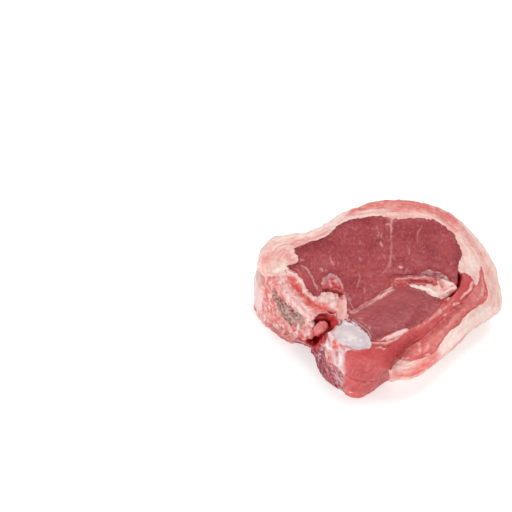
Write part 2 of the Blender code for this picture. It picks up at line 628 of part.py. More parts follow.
def disc_cutter(name, clearance, collection):
    """The disc's outline as a block with a slanted floor, grown by a clearance."""
    outline = spline(DISC_OUTLINE, STEP, closed=True)
    grown = inset(outline, np.full(len(outline), -clearance))
    curve = bpy.data.curves.new(name, "CURVE")
    curve.dimensions = "2D"
    curve.fill_mode = "BOTH"
    curve.extrude = THICKNESS * MM
    polyline(curve, [(x * MM, y * MM, 0.0) for x, y in grown]).use_cyclic_u = True
    mesh = curve_mesh(name, curve)
    bmesh.ops.translate(mesh, verts=mesh.verts, vec=(0.0, 0.0, THICKNESS * MM))
    floor_point, floor_normal = disc_floor(clearance)
    result = bmesh.ops.bisect_plane(
        mesh, geom=mesh.verts[:] + mesh.edges[:] + mesh.faces[:],
        plane_co=floor_point, plane_no=floor_normal, clear_outer=True)
    rim = [item for item in result["geom_cut"] if isinstance(item, bmesh.types.BMEdge)]
    bmesh.ops.contextual_create(mesh, geom=rim)
    bmesh.ops.recalc_face_normals(mesh, faces=mesh.faces)
    return cutter_object(name, finish_mesh(mesh, name), collection, Matrix.Identity(4))


def spinal_cord(collection):
    """The cord's stub: a tapering rod down the canal, its cut end below the upper face."""
    curve = bpy.data.curves.new("spinal_cord", "CURVE")
    curve.dimensions = "3D"
    curve.bevel_depth = CORD_RADIUS * MM
    curve.bevel_resolution = 3
    curve.use_fill_caps = True
    stations = [
        spine_point(CANAL_AT[0], CORD_BEHIND, CORD_TOP - depth) for depth, _ in CORD_STATIONS]
    path = polyline(curve, stations)
    for corner, (_, share) in zip(path.points, CORD_STATIONS):
        corner.radius = share
    mesh = curve_mesh("spinal_cord", curve)
    bmesh.ops.recalc_face_normals(mesh, faces=mesh.faces)
    return place("spinal_cord", finish_mesh(mesh, "spinal_cord"), collection)


# ---------------------------------------------------------------- assembly
def centre(items, cutters):
    """Stand the chop on z = 0 with the middle of its box over the origin."""
    bpy.context.view_layer.update()
    graph = bpy.context.evaluated_depsgraph_get()
    corners = []
    for item in items:
        evaluated = item.evaluated_get(graph)
        corners.extend(item.matrix_world @ vertex.co for vertex in evaluated.data.vertices)
    corners = np.array(corners)
    low, high = corners.min(axis=0), corners.max(axis=0)
    shift = Vector((-(low[0] + high[0]) / 2.0, -(low[1] + high[1]) / 2.0, -low[2]))
    for item in items + cutters:
        item.location += shift


def main():
    """Build the chop."""
    for item in list(bpy.data.objects):
        bpy.data.objects.remove(item)
    parts = bpy.data.collections.new("lamb_chop")
    tools = bpy.data.collections.new("cutters")
    for collection in (parts, tools):
        bpy.context.scene.collection.children.link(collection)

    walls = outer_walls()
    items = []
    for name, (stretches, crown, sag, colour, roughness) in TISSUES.items():
        item = place(name, column_mesh(name, Outline(stretches, walls), crown, sag), parts)
        paint(item, colour, roughness)
        items.append(item)

    dorsal = half_space("dorsal_side", -1.0, tools)
    ventral = half_space("ventral_side", 1.0, tools)
    canal = canal_cutter("canal", 0.0, tools)
    canal_inside = canal_cutter("canal_inside", BRIDGE_CLEARANCE, tools)
    bridge_top = plane_cutter("bridge_top", BRIDGE_TOP, tools)
    bridge_floor = plane_cutter("bridge_floor", BRIDGE_FLOOR, tools)
    body_chip = plane_cutter("body_chip", BODY_CHIP, tools)
    disc_block = disc_cutter("disc_block", 0.0, tools)
    disc_socket = disc_cutter("disc_socket", DISC_CLEARANCE, tools)
    cuts = {
        "lamina": (LAMINA_LOOK, [(dorsal, "INTERSECT"), (canal, "DIFFERENCE")]),
        "vertebral_body": (BODY_LOOK, [
            (ventral, "INTERSECT"), (canal, "DIFFERENCE"), (disc_socket, "DIFFERENCE"),
            (body_chip, "DIFFERENCE")]),
        "disc": (DISC_LOOK, [(disc_block, "INTERSECT"), (canal, "DIFFERENCE")]),
        "canal_tissue": (BRIDGE_LOOK, [
            (canal_inside, "INTERSECT"), (bridge_top, "DIFFERENCE"),
            (bridge_floor, "DIFFERENCE")])}
    stretches, crown, sag = VERTEBRA
    for name, (look, steps) in cuts.items():
        item = place(name, column_mesh(name, Outline(stretches, walls), crown, sag), parts)
        paint(item, *look)
        for cutter, operation in steps:
            cut(item, cutter, operation)
        items.append(item)

    cord = spinal_cord(parts)
    paint(cord, *CORD_LOOK)
    items.append(cord)
    centre(items, list(tools.objects))


main()
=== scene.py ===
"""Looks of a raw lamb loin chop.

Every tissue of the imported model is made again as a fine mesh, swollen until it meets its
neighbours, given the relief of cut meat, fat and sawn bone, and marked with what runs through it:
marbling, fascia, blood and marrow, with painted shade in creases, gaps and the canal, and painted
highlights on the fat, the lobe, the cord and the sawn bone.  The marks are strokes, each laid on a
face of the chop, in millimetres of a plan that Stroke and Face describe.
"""
from __future__ import annotations

import itertools
import logging
import math
from dataclasses import dataclass, field
from enum import Enum
from typing import Sequence

import bpy
import numpy as np
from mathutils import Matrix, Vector
from mathutils.bvhtree import BVHTree

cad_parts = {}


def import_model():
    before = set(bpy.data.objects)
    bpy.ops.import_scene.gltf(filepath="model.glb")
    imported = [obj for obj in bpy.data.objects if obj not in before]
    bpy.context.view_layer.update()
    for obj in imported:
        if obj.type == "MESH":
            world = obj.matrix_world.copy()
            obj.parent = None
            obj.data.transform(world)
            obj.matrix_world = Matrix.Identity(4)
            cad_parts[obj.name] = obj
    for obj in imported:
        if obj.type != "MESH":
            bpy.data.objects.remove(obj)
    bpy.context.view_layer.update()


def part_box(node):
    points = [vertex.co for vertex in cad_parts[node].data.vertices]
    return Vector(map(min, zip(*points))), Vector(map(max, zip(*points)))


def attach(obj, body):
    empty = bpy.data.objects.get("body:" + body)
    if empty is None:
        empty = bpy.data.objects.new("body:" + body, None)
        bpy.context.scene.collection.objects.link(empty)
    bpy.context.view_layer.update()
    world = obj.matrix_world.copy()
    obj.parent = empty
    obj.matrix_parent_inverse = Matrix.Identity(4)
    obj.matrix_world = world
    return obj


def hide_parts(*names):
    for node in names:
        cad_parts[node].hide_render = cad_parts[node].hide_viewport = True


LOG = logging.getLogger("lamb_chop")
MM = 0.001

# The strokes are laid out on a plan whose origin isn't the frame's: the least x and the least y of
# the loin eye lie here on it, mm.
LOIN_CORNER = (-33.416, -19.733)
SAW_START = (-45.7, 2.5)        # where the sawn face begins, at the tip of the spine, mm
SAW_DIR = (0.662, -0.749)       # along the sawn face
SPINE_LEAN = -11.3              # how far the spine moves along it, top to foot, mm
CANAL_ALONG = 34.1              # canal centre along the sawn face, at the top, mm
CANAL_BEHIND = 0.8              # and behind it, mm
CANAL_RADIUS = 4.3
THICKNESS = 25.4                # of the cut, mm
SAWN_DEPTH = 4.0                # what lies farther behind the sawn face isn't part of it, mm
DEEPEST = 2.0                   # how far behind the sawn face a lump may still lie on it, mm
FAR = 200.0                     # from where rays are cast at the chop, mm
CREST = 26.1                    # above this height the relief is held back, mm
HEADROOM = 0.55                 # and it comes no higher than this over it, mm
FACING = (0.15, 0.55)           # how squarely a surface faces along a direction: not at all, fully
RAGGED = 0.4                    # how far the line of a stroke wanders, mm
WANDER_GRAIN = 1.9              # length of one turn of that line, mm
BREAK_GRAIN = 1.3               # length of the breaks in a stroke, mm
BREAKS = (-0.2, 0.5)            # noise between which a break opens
APART = 31.0                    # shift in mm after which a noise reads as another one
SAMPLES = 6                     # readings of a curve from each of its points to the next
SMOOTHING = 2                   # rounds of smoothing after a remesh
BALL_TAPER = 0.45               # share of its radius that a lump loses towards its ends
SEAM_REACH = 1.2                # how fast a neighbour's pull fades with distance, mm
SEAM_FOOT = (1.0, 4.0)          # heights between which the rims begin to rise, mm
RIM_LIFT = 0.7                  # how far a rim rises beside a neighbour, mm
RIM_WAVE = 0.2                  # and how uneven that is, mm
SOFT_TAPER = 0.3                # share of its width that a broad stroke loses at its ends
CUT_BREAKS = 0.35               # share of a broad stroke that its breaks take, on the cut face
WALL_BREAKS = 0.4               # and on a wall
FILM_WHITE = 0.035              # light that the film of juice itself sends back
FILM_GAIN = 1.08                # and how much the film brightens what lies below it
FINE_GRAIN = 0.7                # of the relief that only the light shows, mm
DARKEST = 0.003                 # least light that a tissue sends back

Point = tuple[float, float]
Path = tuple[Point, ...]
Waves = tuple[tuple[float, float], ...]     # size and depth of each, mm


def linear(code: str) -> tuple[float, float, float, float]:
    """Turn an sRGB hex colour to linear light.

    Args:
        code: six hex digits.

    Returns:
        Red, green, blue and an alpha of 1.
    """
    channels = [int(code[start:start + 2], 16) / 255.0 for start in (0, 2, 4)]
    red, green, blue = [
        value / 12.92 if value <= 0.04045 else ((value + 0.055) / 1.055) ** 2.4
        for value in channels]
    return red, green, blue, 1.0


def ease(value: np.ndarray, low: float, high: float) -> np.ndarray:
    """Go smoothly from 0 at low to 1 at high; high may be the smaller.

    Args:
        value: any numbers.
        low: where the result is 0.
        high: where the result is 1.

    Returns:
        Numbers from 0 to 1.
    """
    share = np.clip((value - low) / (high - low), 0.0, 1.0)
    return share * share * (3.0 - 2.0 * share)


def smooth_path(points: Path) -> np.ndarray:
    """Read a Catmull-Rom curve through the points.

    Args:
        points: plan points, mm.

    Returns:
        The curve's points, one row each.
    """
    knots = np.array(points, dtype=float)
    if len(knots) < 3:
        return knots
    knots = np.vstack([2.0 * knots[0] - knots[1], knots, 2.0 * knots[-1] - knots[-2]])
    curve = []
    for before, start, end, after in zip(knots, knots[1:], knots[2:], knots[3:]):
        for t in np.linspace(0.0, 1.0, SAMPLES, endpoint=False):
            curve.append(0.5 * (
                2.0 * start + (end - before) * t
                + (2.0 * before - 5.0 * start + 4.0 * end - after) * t ** 2
                + (3.0 * start - before - 3.0 * end + after) * t ** 3))
    curve.append(knots[-2])
    return np.array(curve)


class Grain:
    """Smooth seeded noise from -1 to 1, read at many points at once."""

    SIDE = 64

    def __init__(self, seed: int) -> None:
        """Fill the lattice that the noise is read from."""
        self.values = np.random.default_rng(seed).uniform(-1.0, 1.0, (self.SIDE,) * 3)

    def at(self, points: np.ndarray, size: float | tuple[float, float, float]) -> np.ndarray:
        """Read one octave.

        Args:
            points: rows of x, y, z in mm.
            size: length of a grain, or one for each axis, mm.

        Returns:
            A number from -1 to 1 for each point.
        """
        scaled = points / np.array(size)
        cell = np.floor(scaled).astype(int)
        part = scaled - cell
        part = part * part * (3.0 - 2.0 * part)
        total = np.zeros(len(points))
        for corner in itertools.product((0, 1), repeat=3):
            weight = np.prod(np.where(corner, part, 1.0 - part), axis=1)
            spot = (cell + corner) % self.SIDE
            total += weight * self.values[spot[:, 0], spot[:, 1], spot[:, 2]]
        return total

    def layered(self, points: np.ndarray, size: float, octaves: int = 2) -> np.ndarray:
        """Add octaves, each half the size and about half the strength of the last."""
        return sum(
            0.5 ** step * self.at(points + 17.3 * step, size / 2.0 ** step)
            for step in range(octaves))


GRAIN = Grain(7)


# ---------------------------------------------------------------- the chop's own directions
class Face(Enum):
    """The faces that strokes are laid on."""

    CUT = "upper and lower cut face, in plan"
    SAWN = "sawn face of the backbone, along it and up"
    FRONT = "wall towards the belly, along X and up"


class Tint(Enum):
    """What a stroke brings out."""

    PALE = "pale"
    FLUSH = "flush"
    DULL = "dull"
    DEEP = "deep"
    # Blood, also laid as painted shade in gaps, on the cord and deep in the canal.
    BLOOD_AND_SHADE = "blood"


@dataclass(frozen=True)
class ChopFrame:
    """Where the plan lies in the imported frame."""

    shift: np.ndarray

    @classmethod
    def from_nodes(cls) -> ChopFrame:
        """Read the shift from the loin eye's box."""
        low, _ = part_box("loin_eye")
        shift = np.array([low.x / MM - LOIN_CORNER[0], low.y / MM - LOIN_CORNER[1], 0.0])
        return cls(shift)

    def plan(self, points: np.ndarray) -> np.ndarray:
        """Turn frame points in metres to plan points in mm."""
        return points / MM - self.shift

    def frame(self, points: np.ndarray) -> np.ndarray:
        """Turn plan points in mm to frame points in metres."""
        return (points + self.shift) * MM

    @staticmethod
    def sawn(plan: np.ndarray) -> tuple[np.ndarray, np.ndarray]:
        """How far plan points lie along the sawn face and behind it, mm."""
        away = plan[:, :2] - np.array(SAW_START)
        along = away @ np.array(SAW_DIR)
        behind = away @ np.array([-SAW_DIR[1], SAW_DIR[0]])
        return along, behind

    def from_canal(self, plan: np.ndarray) -> np.ndarray:
        """How far plan points lie from the middle of the spinal canal, mm."""
        along, behind = self.sawn(plan)
        slide = SPINE_LEAN * (1.0 - plan[:, 2] / THICKNESS)
        return np.hypot(along - CANAL_ALONG - slide, behind - CANAL_BEHIND)


# ---------------------------------------------------------------- strokes
@dataclass(frozen=True)
class Stroke:
    """A mark on a face: its path and half width in mm, and what it does to the tissue there."""

    tint: Tint
    path: Path
    width: float
    blur: float
    strength: float
    lift: float = 0.0
    face: Face = Face.CUT
    taper: float = 0.6
    broken: float = 0.45        # share that the breaks in it take away

    def cover(self, spots: np.ndarray) -> np.ndarray:
        """How much the stroke covers each point of its face.

        Args:
            spots: rows of the face's two coordinates, mm.

        Returns:
            A share from 0 to 1 for each point, before strength.
        """
        path = smooth_path(self.path)
        reach = self.width + self.blur
        near = np.all(
            (spots > path.min(axis=0) - reach) & (spots < path.max(axis=0) + reach), axis=1)
        close = spots[near]
        best = np.full(len(close), np.inf)
        place = np.zeros(len(close))
        spans = len(path) - 1
        for index in range(spans):
            side = path[index + 1] - path[index]
            share = np.clip((close - path[index]) @ side / max(side @ side, 1e-9), 0.0, 1.0)
            away = np.linalg.norm(close - path[index] - share[:, None] * side, axis=1)
            nearer = away < best
            best = np.where(nearer, away, best)
            place = np.where(nearer, (index + share) / spans, place)
        width = self.width * (1.0 - self.taper * (2.0 * place - 1.0) ** 2)
        cover = np.zeros(len(spots))
        cover[near] = ease(best - width, self.blur, -self.blur)
        return cover


@dataclass(frozen=True)
class Brush:
    """Lays strokes of one tint: broad soft changes of tone."""

    tint: Tint

    def cut(self, width: float, blur: float, strength: float, lift: float,
            *path: Point) -> Stroke:
        """A stroke on the cut face, in plan."""
        return Stroke(
            self.tint, path, width, blur, strength, lift, Face.CUT, SOFT_TAPER, CUT_BREAKS)

    def sawn(self, width: float, blur: float, strength: float, lift: float,
             *path: Point) -> Stroke:
        """A stroke on the sawn face, along it and up."""
        return Stroke(
            self.tint, path, width, blur, strength, lift, Face.SAWN, SOFT_TAPER, WALL_BREAKS)

    def front(self, width: float, blur: float, strength: float, lift: float,
              *path: Point) -> Stroke:
        """A stroke on the wall towards the belly, along X and up."""
        return Stroke(
            self.tint, path, width, blur, strength, lift, Face.FRONT, SOFT_TAPER, WALL_BREAKS)


PALE, FLUSH, DULL, DEEP, BLOOD_AND_SHADE = (Brush(tint) for tint in Tint)


def fascia(width: float, strength: float, *path: Point, lift: float = 0.12) -> Stroke:
    """A pale sheet of fascia between bundles, seen end on and standing slightly proud."""
    return Stroke(Tint.PALE, path, width, blur=0.32, strength=strength, lift=lift, broken=0.5)


def fleck(width: float, strength: float, *path: Point) -> Stroke:
    """A fleck of marbling."""
    return Stroke(Tint.PALE, path, width, blur=0.3, strength=strength, lift=0.03, broken=0.6)


def struts(seed: int, count: int, along: Point, up: Point, pale: float) -> list[Stroke]:
    """Pale struts and dark hollows strewn over spongy bone on the sawn face.

    Args:
        seed: seed of the scatter.
        count: how many there are.
        along: from where to where along the face, mm.
        up: from where to where up it, mm.
        pale: share of them that is pale.

    Returns:
        The strokes.
    """
    chance = np.random.default_rng(seed)
    strokes = []
    for _ in range(count):
        start = np.array([chance.uniform(*along), chance.uniform(*up)])
        length = chance.uniform(0.3, 1.5)
        end = start + length * np.array([chance.uniform(0.3, 1.0), chance.uniform(-1.0, 0.2)])
        light = chance.random() < pale
        strokes.append(Stroke(
            Tint.PALE if light else Tint.DEEP, (tuple(start), tuple(end)),
            width=chance.uniform(0.12, 0.26 if light else 0.4), blur=0.25,
            strength=chance.uniform(0.3, 0.8), lift=0.15 if light else -0.3, face=Face.SAWN,
            broken=0.2))
    return strokes


@dataclass(frozen=True)
class Lump:
    """A raised rag or bead of tissue on a face: balls along a path, which the remesh joins."""

    path: Path
    radius: float               # mm
    proud: float = 0.0          # how far the balls' middles stand off the face, mm
    face: Face = Face.CUT

    def balls(self, solid: BVHTree) -> list[tuple[Vector, float]]:
        """Place the balls on a solid.

        Args:
            solid: the solid's surface in plan mm.

        Returns:
            The middle and the radius of each ball, mm.
        """
        path = smooth_path(self.path) if len(self.path) > 1 else np.array(self.path)
        balls = []
        for index, (across, up) in enumerate(path):
            if self.face is Face.CUT:
                start, inward = Vector((across, up, FAR)), Vector((0.0, 0.0, -1.0))
            elif self.face is Face.FRONT:
                start, inward = Vector((across, -FAR, up)), Vector((0.0, 1.0, 0.0))
            else:
                inward = Vector((-SAW_DIR[1], SAW_DIR[0], 0.0))
                level = np.array(SAW_START) + across * np.array(SAW_DIR)
                start = Vector((level[0], level[1], up)) - FAR * inward
            spot, _, _, distance = solid.ray_cast(start, inward)
            if self.face is Face.SAWN and (spot is None or distance > FAR + DEEPEST):
                spot = start + FAR * inward
            if spot is None:
                continue
            share = (index + 0.5) / len(path)
            radius = self.radius * (1.0 - BALL_TAPER * (2.0 * share - 1.0) ** 2)
            balls.append((spot - self.proud * inward, radius))
        return balls


@dataclass
class Surface:
    """A piece's vertices as the strokes see them."""

    plan: np.ndarray            # mm
    normals: np.ndarray

    def __post_init__(self) -> None:
        """Work out where each vertex lies on each face, and how squarely it faces it."""
        along, behind = ChopFrame.sawn(self.plan)
        wander = RAGGED * np.stack(
            [GRAIN.layered(self.plan + shift, WANDER_GRAIN) for shift in (0.0, APART)], axis=1)
        outward = self.normals[:, 0] * SAW_DIR[1] - self.normals[:, 1] * SAW_DIR[0]
        self.spots = {
            Face.CUT: self.plan[:, :2] + wander,
            Face.SAWN: np.stack([along, self.plan[:, 2]], axis=1) + wander,
            Face.FRONT: self.plan[:, [0, 2]] + wander}
        self.facing = {
            Face.CUT: ease(np.abs(self.normals[:, 2]), *FACING),
            Face.SAWN: ease(np.where(behind < SAWN_DEPTH, outward, 0.0), *FACING),
            Face.FRONT: ease(-self.normals[:, 1], *FACING)}
        self.breaks = ease(GRAIN.layered(self.plan + 11.0, BREAK_GRAIN), *BREAKS)

    def cover(self, stroke: Stroke) -> np.ndarray:
        """How much a stroke covers each vertex, on the face that it belongs to."""
        cover = stroke.cover(self.spots[stroke.face]) * self.facing[stroke.face]
        return cover * (1.0 - stroke.broken * self.breaks)


# ---------------------------------------------------------------- finishes
def add_node(tree: bpy.types.NodeTree, kind: str, links: dict[int | str, object] | None = None,
             **settings: object) -> bpy.types.Node:
    """Add a shader node with its settings, and its inputs linked or set.

    Args:
        tree: the material's node tree.
        kind: the node's type name.
        links: input to the socket that feeds it, or to its value.
        **settings: properties of the node itself.

    Returns:
        The new node.
    """
    node = tree.nodes.new(kind)
    for name, value in settings.items():
        setattr(node, name, value)
    for socket, value in (links or {}).items():
        if isinstance(value, bpy.types.NodeSocket):
            tree.links.new(value, node.inputs[socket])
        else:
            node.inputs[socket].default_value = value
    return node


def under_film(code: str) -> tuple[float, float, float, float]:
    """Colour of a tissue below its film of juice, which adds some white of its own."""
    below = [max((value - FILM_WHITE) / FILM_GAIN, DARKEST) for value in linear(code)[:3]]
    return *below, 1.0


@dataclass(frozen=True)
class Layer:
    """A tone that shows where a noise is high."""

    code: str
    size: float | tuple[float, float, float]    # mm
    low: float
    high: float
    share: float


@dataclass(frozen=True)
class RawTissue:
    """A raw animal tissue: wet, slightly translucent, in layered tones under five tints."""

    name: str
    base: str                   # as it looks under its film of juice
    # pale also serves for painted highlights, deep for painted shade in creases and gaps
    pale: str
    flush: str
    dull: str
    deep: str
    layers: tuple[Layer, ...]
    follows_band: bool = False  # the grain runs along the piece's own band and not along the axes
    roughness: float = 0.45
    scatter: tuple[float, float, float] = (1.6, 0.6, 0.45)      # reach of red, green and blue, mm
    scatter_share: float = 0.25
    wetness: float = 0.12       # weight of the film of juice
    bump: float = 0.16          # mm
    blood: str = "C01428"       # fresh blood lying on it; also painted shade in gaps and the canal

    def material(self) -> bpy.types.Material:
        """Build the material.

        Returns:
            The material, which reads the piece's tints as attributes.
        """
        material = bpy.data.materials.new(self.name)
        material.use_nodes = True
        tree = material.node_tree
        tree.nodes.clear()
        place = add_node(tree, "ShaderNodeTexCoord").outputs["Object"]
        if self.follows_band:
            place = add_node(tree, "ShaderNodeAttribute", attribute_name="flow").outputs["Vector"]
        mixed: object = under_film(self.base)
        for layer in self.layers:
            noise = self.pattern(tree, place, layer.size)
            factor = add_node(tree, "ShaderNodeMapRange", {
                "Value": noise, "From Min": layer.low, "From Max": layer.high,
                "To Max": layer.share}).outputs[0]
            mixed = self.blend(tree, mixed, layer.code, factor)
        for tint in ("dull", "flush", "pale", "deep", "blood"):
            factor = add_node(tree, "ShaderNodeAttribute", attribute_name=tint).outputs["Fac"]
            mixed = self.blend(tree, mixed, getattr(self, tint), factor)
        fine = self.pattern(tree, place, FINE_GRAIN)
        height = add_node(
            tree, "ShaderNodeMath", {0: noise, 1: fine}, operation="ADD").outputs[0]
        normal = add_node(tree, "ShaderNodeBump", {
            "Strength": 0.8, "Distance": self.bump * MM, "Height": height}).outputs["Normal"]
        gloss = add_node(tree, "ShaderNodeMapRange", {
            "Value": fine, "From Min": 0.3, "From Max": 0.7,
            "To Min": self.roughness - 0.1, "To Max": self.roughness + 0.12}).outputs[0]
        shader = add_node(tree, "ShaderNodeBsdfPrincipled", {
            "Base Color": mixed, "Roughness": gloss, "Normal": normal, "IOR": 1.36,
            "Subsurface Weight": self.scatter_share, "Subsurface Scale": MM,
            "Subsurface Radius": self.scatter, "Coat Weight": self.wetness,
            "Coat Roughness": 0.15, "Coat IOR": 1.34})
        add_node(tree, "ShaderNodeOutputMaterial", {"Surface": shader.outputs[0]})
        return material

    @staticmethod
    def pattern(tree: bpy.types.NodeTree, place: bpy.types.NodeSocket,
                size: float | tuple[float, float, float]) -> bpy.types.NodeSocket:
        """Noise with grains of a size in mm."""
        sizes = size if isinstance(size, tuple) else (size,) * 3
        scaled = add_node(tree, "ShaderNodeVectorMath", {
            0: place, 1: [1.0 / (length * MM) for length in sizes]}, operation="MULTIPLY")
        noise = add_node(tree, "ShaderNodeTexNoise", {
            "Vector": scaled.outputs[0], "Scale": 1.0, "Detail": 3.0, "Roughness": 0.6})
        return noise.outputs["Fac"]

    @staticmethod
    def blend(tree: bpy.types.NodeTree, below: object, code: str,
              factor: bpy.types.NodeSocket) -> bpy.types.NodeSocket:
        """Lay a colour over another by a factor."""
        return add_node(tree, "ShaderNodeMix", {0: factor, 6: below, 7: under_film(code)},
                        data_type="RGBA").outputs[2]


# Lean of the loin, cut across the fibres: fine damp grain, duller red where the bundles end.
LOIN_LEAN = RawTissue(
    "raw_loin_lean", base="AC5256", pale="E2ADA8", flush="C05A5C", dull="8C4A4F", deep="701C25",
    layers=(
        Layer("983F48", 9.0, 0.42, 0.66, 0.75),
        Layer("C2716F", (0.8, 2.0, 2.4), 0.52, 0.7, 0.6),
        Layer("86303B", (1.3, 1.8, 2.0), 0.53, 0.72, 0.65),
        Layer("CF8C87", (0.5, 0.9, 1.2), 0.59, 0.76, 0.55)))
# Fillet: the same lean with a paler, closer grain that sweeps along the muscle.
FILLET_LEAN = RawTissue(
    "raw_fillet_lean", base="AC575B", pale="E8BAB3", flush="C4696A", dull="8E4E52", deep="742027",
    layers=(
        Layer("99474E", 7.0, 0.42, 0.66, 0.7),
        Layer("C67E7C", (2.6, 0.7, 2.4), 0.52, 0.72, 0.5),
        Layer("8F4049", (2.0, 1.0, 2.0), 0.54, 0.74, 0.5),
        Layer("D09490", (1.0, 0.5, 1.0), 0.6, 0.78, 0.4)))
# Flank: thin muscle under a smooth wet film, so brighter and glossier than the cut lean.
FLANK_LEAN = RawTissue(
    "raw_flank_muscle", base="CC5B5E", pale="F3CFC8", flush="E28079", dull="A34A50", deep="841A24",
    layers=(
        Layer("BE4E53", 7.0, 0.42, 0.66, 0.7),
        Layer("DC7C79", (2.4, 1.0, 2.4), 0.52, 0.72, 0.55),
        Layer("B2434A", (1.6, 1.0, 1.6), 0.56, 0.74, 0.5),
        Layer("E99B95", (0.9, 0.6, 0.9), 0.62, 0.78, 0.4)),
    roughness=0.42, wetness=0.12, bump=0.14)
# Outer flank: coarser and fattier than the inner layer, so more orange and streaked.
OUTER_LEAN = RawTissue(
    "raw_outer_flank", base="DA7775", pale="F2C8BF", flush="EA9188", dull="A34A50", deep="8A222B",
    layers=(
        Layer("CB5E61", 5.0, 0.42, 0.62, 0.65),
        Layer("E9A39B", (2.6, 1.0, 2.4), 0.52, 0.7, 0.7),
        Layer("BC4D52", (1.4, 0.9, 1.4), 0.56, 0.72, 0.55),
        Layer("EFB8AF", (0.9, 0.6, 0.9), 0.62, 0.76, 0.5)),
    roughness=0.4, wetness=0.2, bump=0.16)
# Back fat: firm, waxy and damp, cream with blood-tinged fibres that run along the band.
BACK_FAT = RawTissue(
    "raw_back_fat", base="EFBCB3", pale="F9E6DD", flush="E57F7A", dull="EACBCD", deep="C2403F",
    layers=(
        Layer("F5D6CC", 7.0, 0.42, 0.6, 0.85),
        Layer("E7958F", (9.0, 0.9, 1.6), 0.5, 0.66, 0.7),
        Layer("FAE6DE", (7.0, 0.7, 1.4), 0.53, 0.7, 0.8),
        Layer("DC7A76", (5.0, 0.4, 0.9), 0.6, 0.74, 0.6)),
    follows_band=True, roughness=0.46, scatter=(2.0, 1.1, 0.8), scatter_share=0.35, bump=0.2)
# Seam fat: softer fat between the muscles, with a purplish skin of membrane where it is thin.
SEAM_FAT = RawTissue(
    "raw_seam_fat", base="ECC2B9", pale="F6E4DB", flush="DA746C", dull="A85A67", deep="7C1822",
    layers=(
        Layer("F4D8CE", 3.5, 0.42, 0.62, 0.8),
        Layer("DE948E", (2.2, 1.0, 1.2), 0.52, 0.68, 0.7),
        Layer("F7E6DE", (1.0, 0.7, 0.8), 0.56, 0.74, 0.7)),
    scatter=(2.0, 1.1, 0.8), scatter_share=0.35, bump=0.22)
# Sawn bone: dense pink-white shell round red marrow, greyer where the saw has smeared it.
SAWN_BONE = RawTissue(
    "sawn_bone", base="E5A6A2", pale="F8E2DC", flush="DC5B53", dull="BE9F95", deep="80040E",
    layers=(
        Layer("DB7671", 2.8, 0.47, 0.57, 0.85),
        Layer("F5D3CD", (1.9, 1.9, 2.6), 0.51, 0.61, 0.9),
        Layer("C94D4A", (1.1, 1.1, 1.6), 0.58, 0.68, 0.6),
        Layer("FAE9E5", 0.8, 0.6, 0.7, 0.55)),
    scatter=(0.8, 0.35, 0.3), scatter_share=0.12, wetness=0.08, bump=0.4)
# Bone of the joint: closer and smoother than the rest, a waxy pink.
JOINT_BONE = RawTissue(
    "sawn_joint_bone", base="E5A9A3", pale="F6DCD6", flush="DC5B53", dull="B99E96", deep="80040E",
    layers=(
        Layer("E29C97", 3.0, 0.45, 0.62, 0.6),
        Layer("EEC3BD", (1.9, 1.9, 2.6), 0.5, 0.66, 0.7),
        Layer("D88680", 0.9, 0.58, 0.72, 0.4)),
    scatter=(0.9, 0.4, 0.35), scatter_share=0.15, bump=0.2)
# Rib and facet bone: red marrow dotted with darker blood, under a pale rim.
MARROW_BONE = RawTissue(
    "sawn_marrow_bone", base="C95C60", pale="EDB9B4", flush="DD7A74", dull="C9A0A2", deep="86141F",
    layers=(
        Layer("B5434A", 2.2, 0.46, 0.57, 0.85),
        Layer("E0908A", (1.8, 1.2, 1.8), 0.53, 0.62, 0.85),
        Layer("921E29", 1.0, 0.58, 0.66, 0.9),
        Layer("EFBBB6", 0.7, 0.62, 0.69, 0.75)),
    scatter=(1.2, 0.4, 0.3), scatter_share=0.15, bump=0.3)
# Spongy bone: purplish red marrow between fine pale struts.
SPONGY_BONE = RawTissue(
    "sawn_spongy_bone", base="B3606A", pale="F0CBC8", flush="DC5F5B", dull="8A4A55", deep="5C121C",
    layers=(
        Layer("8B3B49", 2.6, 0.45, 0.57, 0.85),
        Layer("CF7677", 1.8, 0.53, 0.62, 0.85),
        Layer("651E2B", 1.0, 0.58, 0.66, 0.85),
        Layer("F0CDC9", 0.7, 0.62, 0.69, 0.9)),
    scatter=(1.2, 0.4, 0.3), scatter_share=0.15, bump=0.4)
# Blood and membrane across the spinal canal: purple-pink in front, and very dark on its upper
# side, as painted shade deep in the canal.
BLOODY_MEMBRANE = RawTissue(
    "bloody_membrane", base="B26068", pale="DDB9BC", flush="C9363F", dull="A05560", deep="64101A",
    layers=(
        Layer("8C3A46", 2.4, 0.44, 0.6, 0.85),
        Layer("CF8286", 1.5, 0.54, 0.68, 0.8),
        Layer("7A1C28", 0.8, 0.58, 0.7, 0.8)),
    roughness=0.34, wetness=0.35, bump=0.35)
# Disc: firm bluish-white cartilage, smooth and glossy.
DISC_GRISTLE = RawTissue(
    "disc_cartilage", base="DCCDCF", pale="F3E6E4", flush="E4685C", dull="AC5862", deep="7C1822",
    layers=(
        Layer("CBBBBF", 4.0, 0.44, 0.62, 0.8),
        Layer("EAE1E1", 2.0, 0.52, 0.7, 0.7),
        Layer("C9B4B8", 1.0, 0.6, 0.76, 0.4)),
    roughness=0.34, scatter=(1.5, 1.2, 1.1), scatter_share=0.25, wetness=0.25, bump=0.08)
# Spinal cord: soft pink tissue under a wet skin.
CORD_TISSUE = RawTissue(
    "spinal_cord_tissue", base="DC8280", pale="EFC3BC", flush="D8564F", dull="B98083",
    deep="6B151D",
    layers=(
        Layer("C9666A", 2.0, 0.45, 0.62, 0.7),
        Layer("EBAAA4", 1.2, 0.54, 0.7, 0.7),
        Layer("A9404A", 0.8, 0.6, 0.74, 0.5)),
    roughness=0.36, wetness=0.25, bump=0.18)


# ---------------------------------------------------------------- making a piece
def select_only(item: bpy.types.Object) -> None:
    """Make one object the only selected and active one."""
    bpy.ops.object.select_all(action="DESELECT")
    item.select_set(True)
    bpy.context.view_layer.objects.active = item


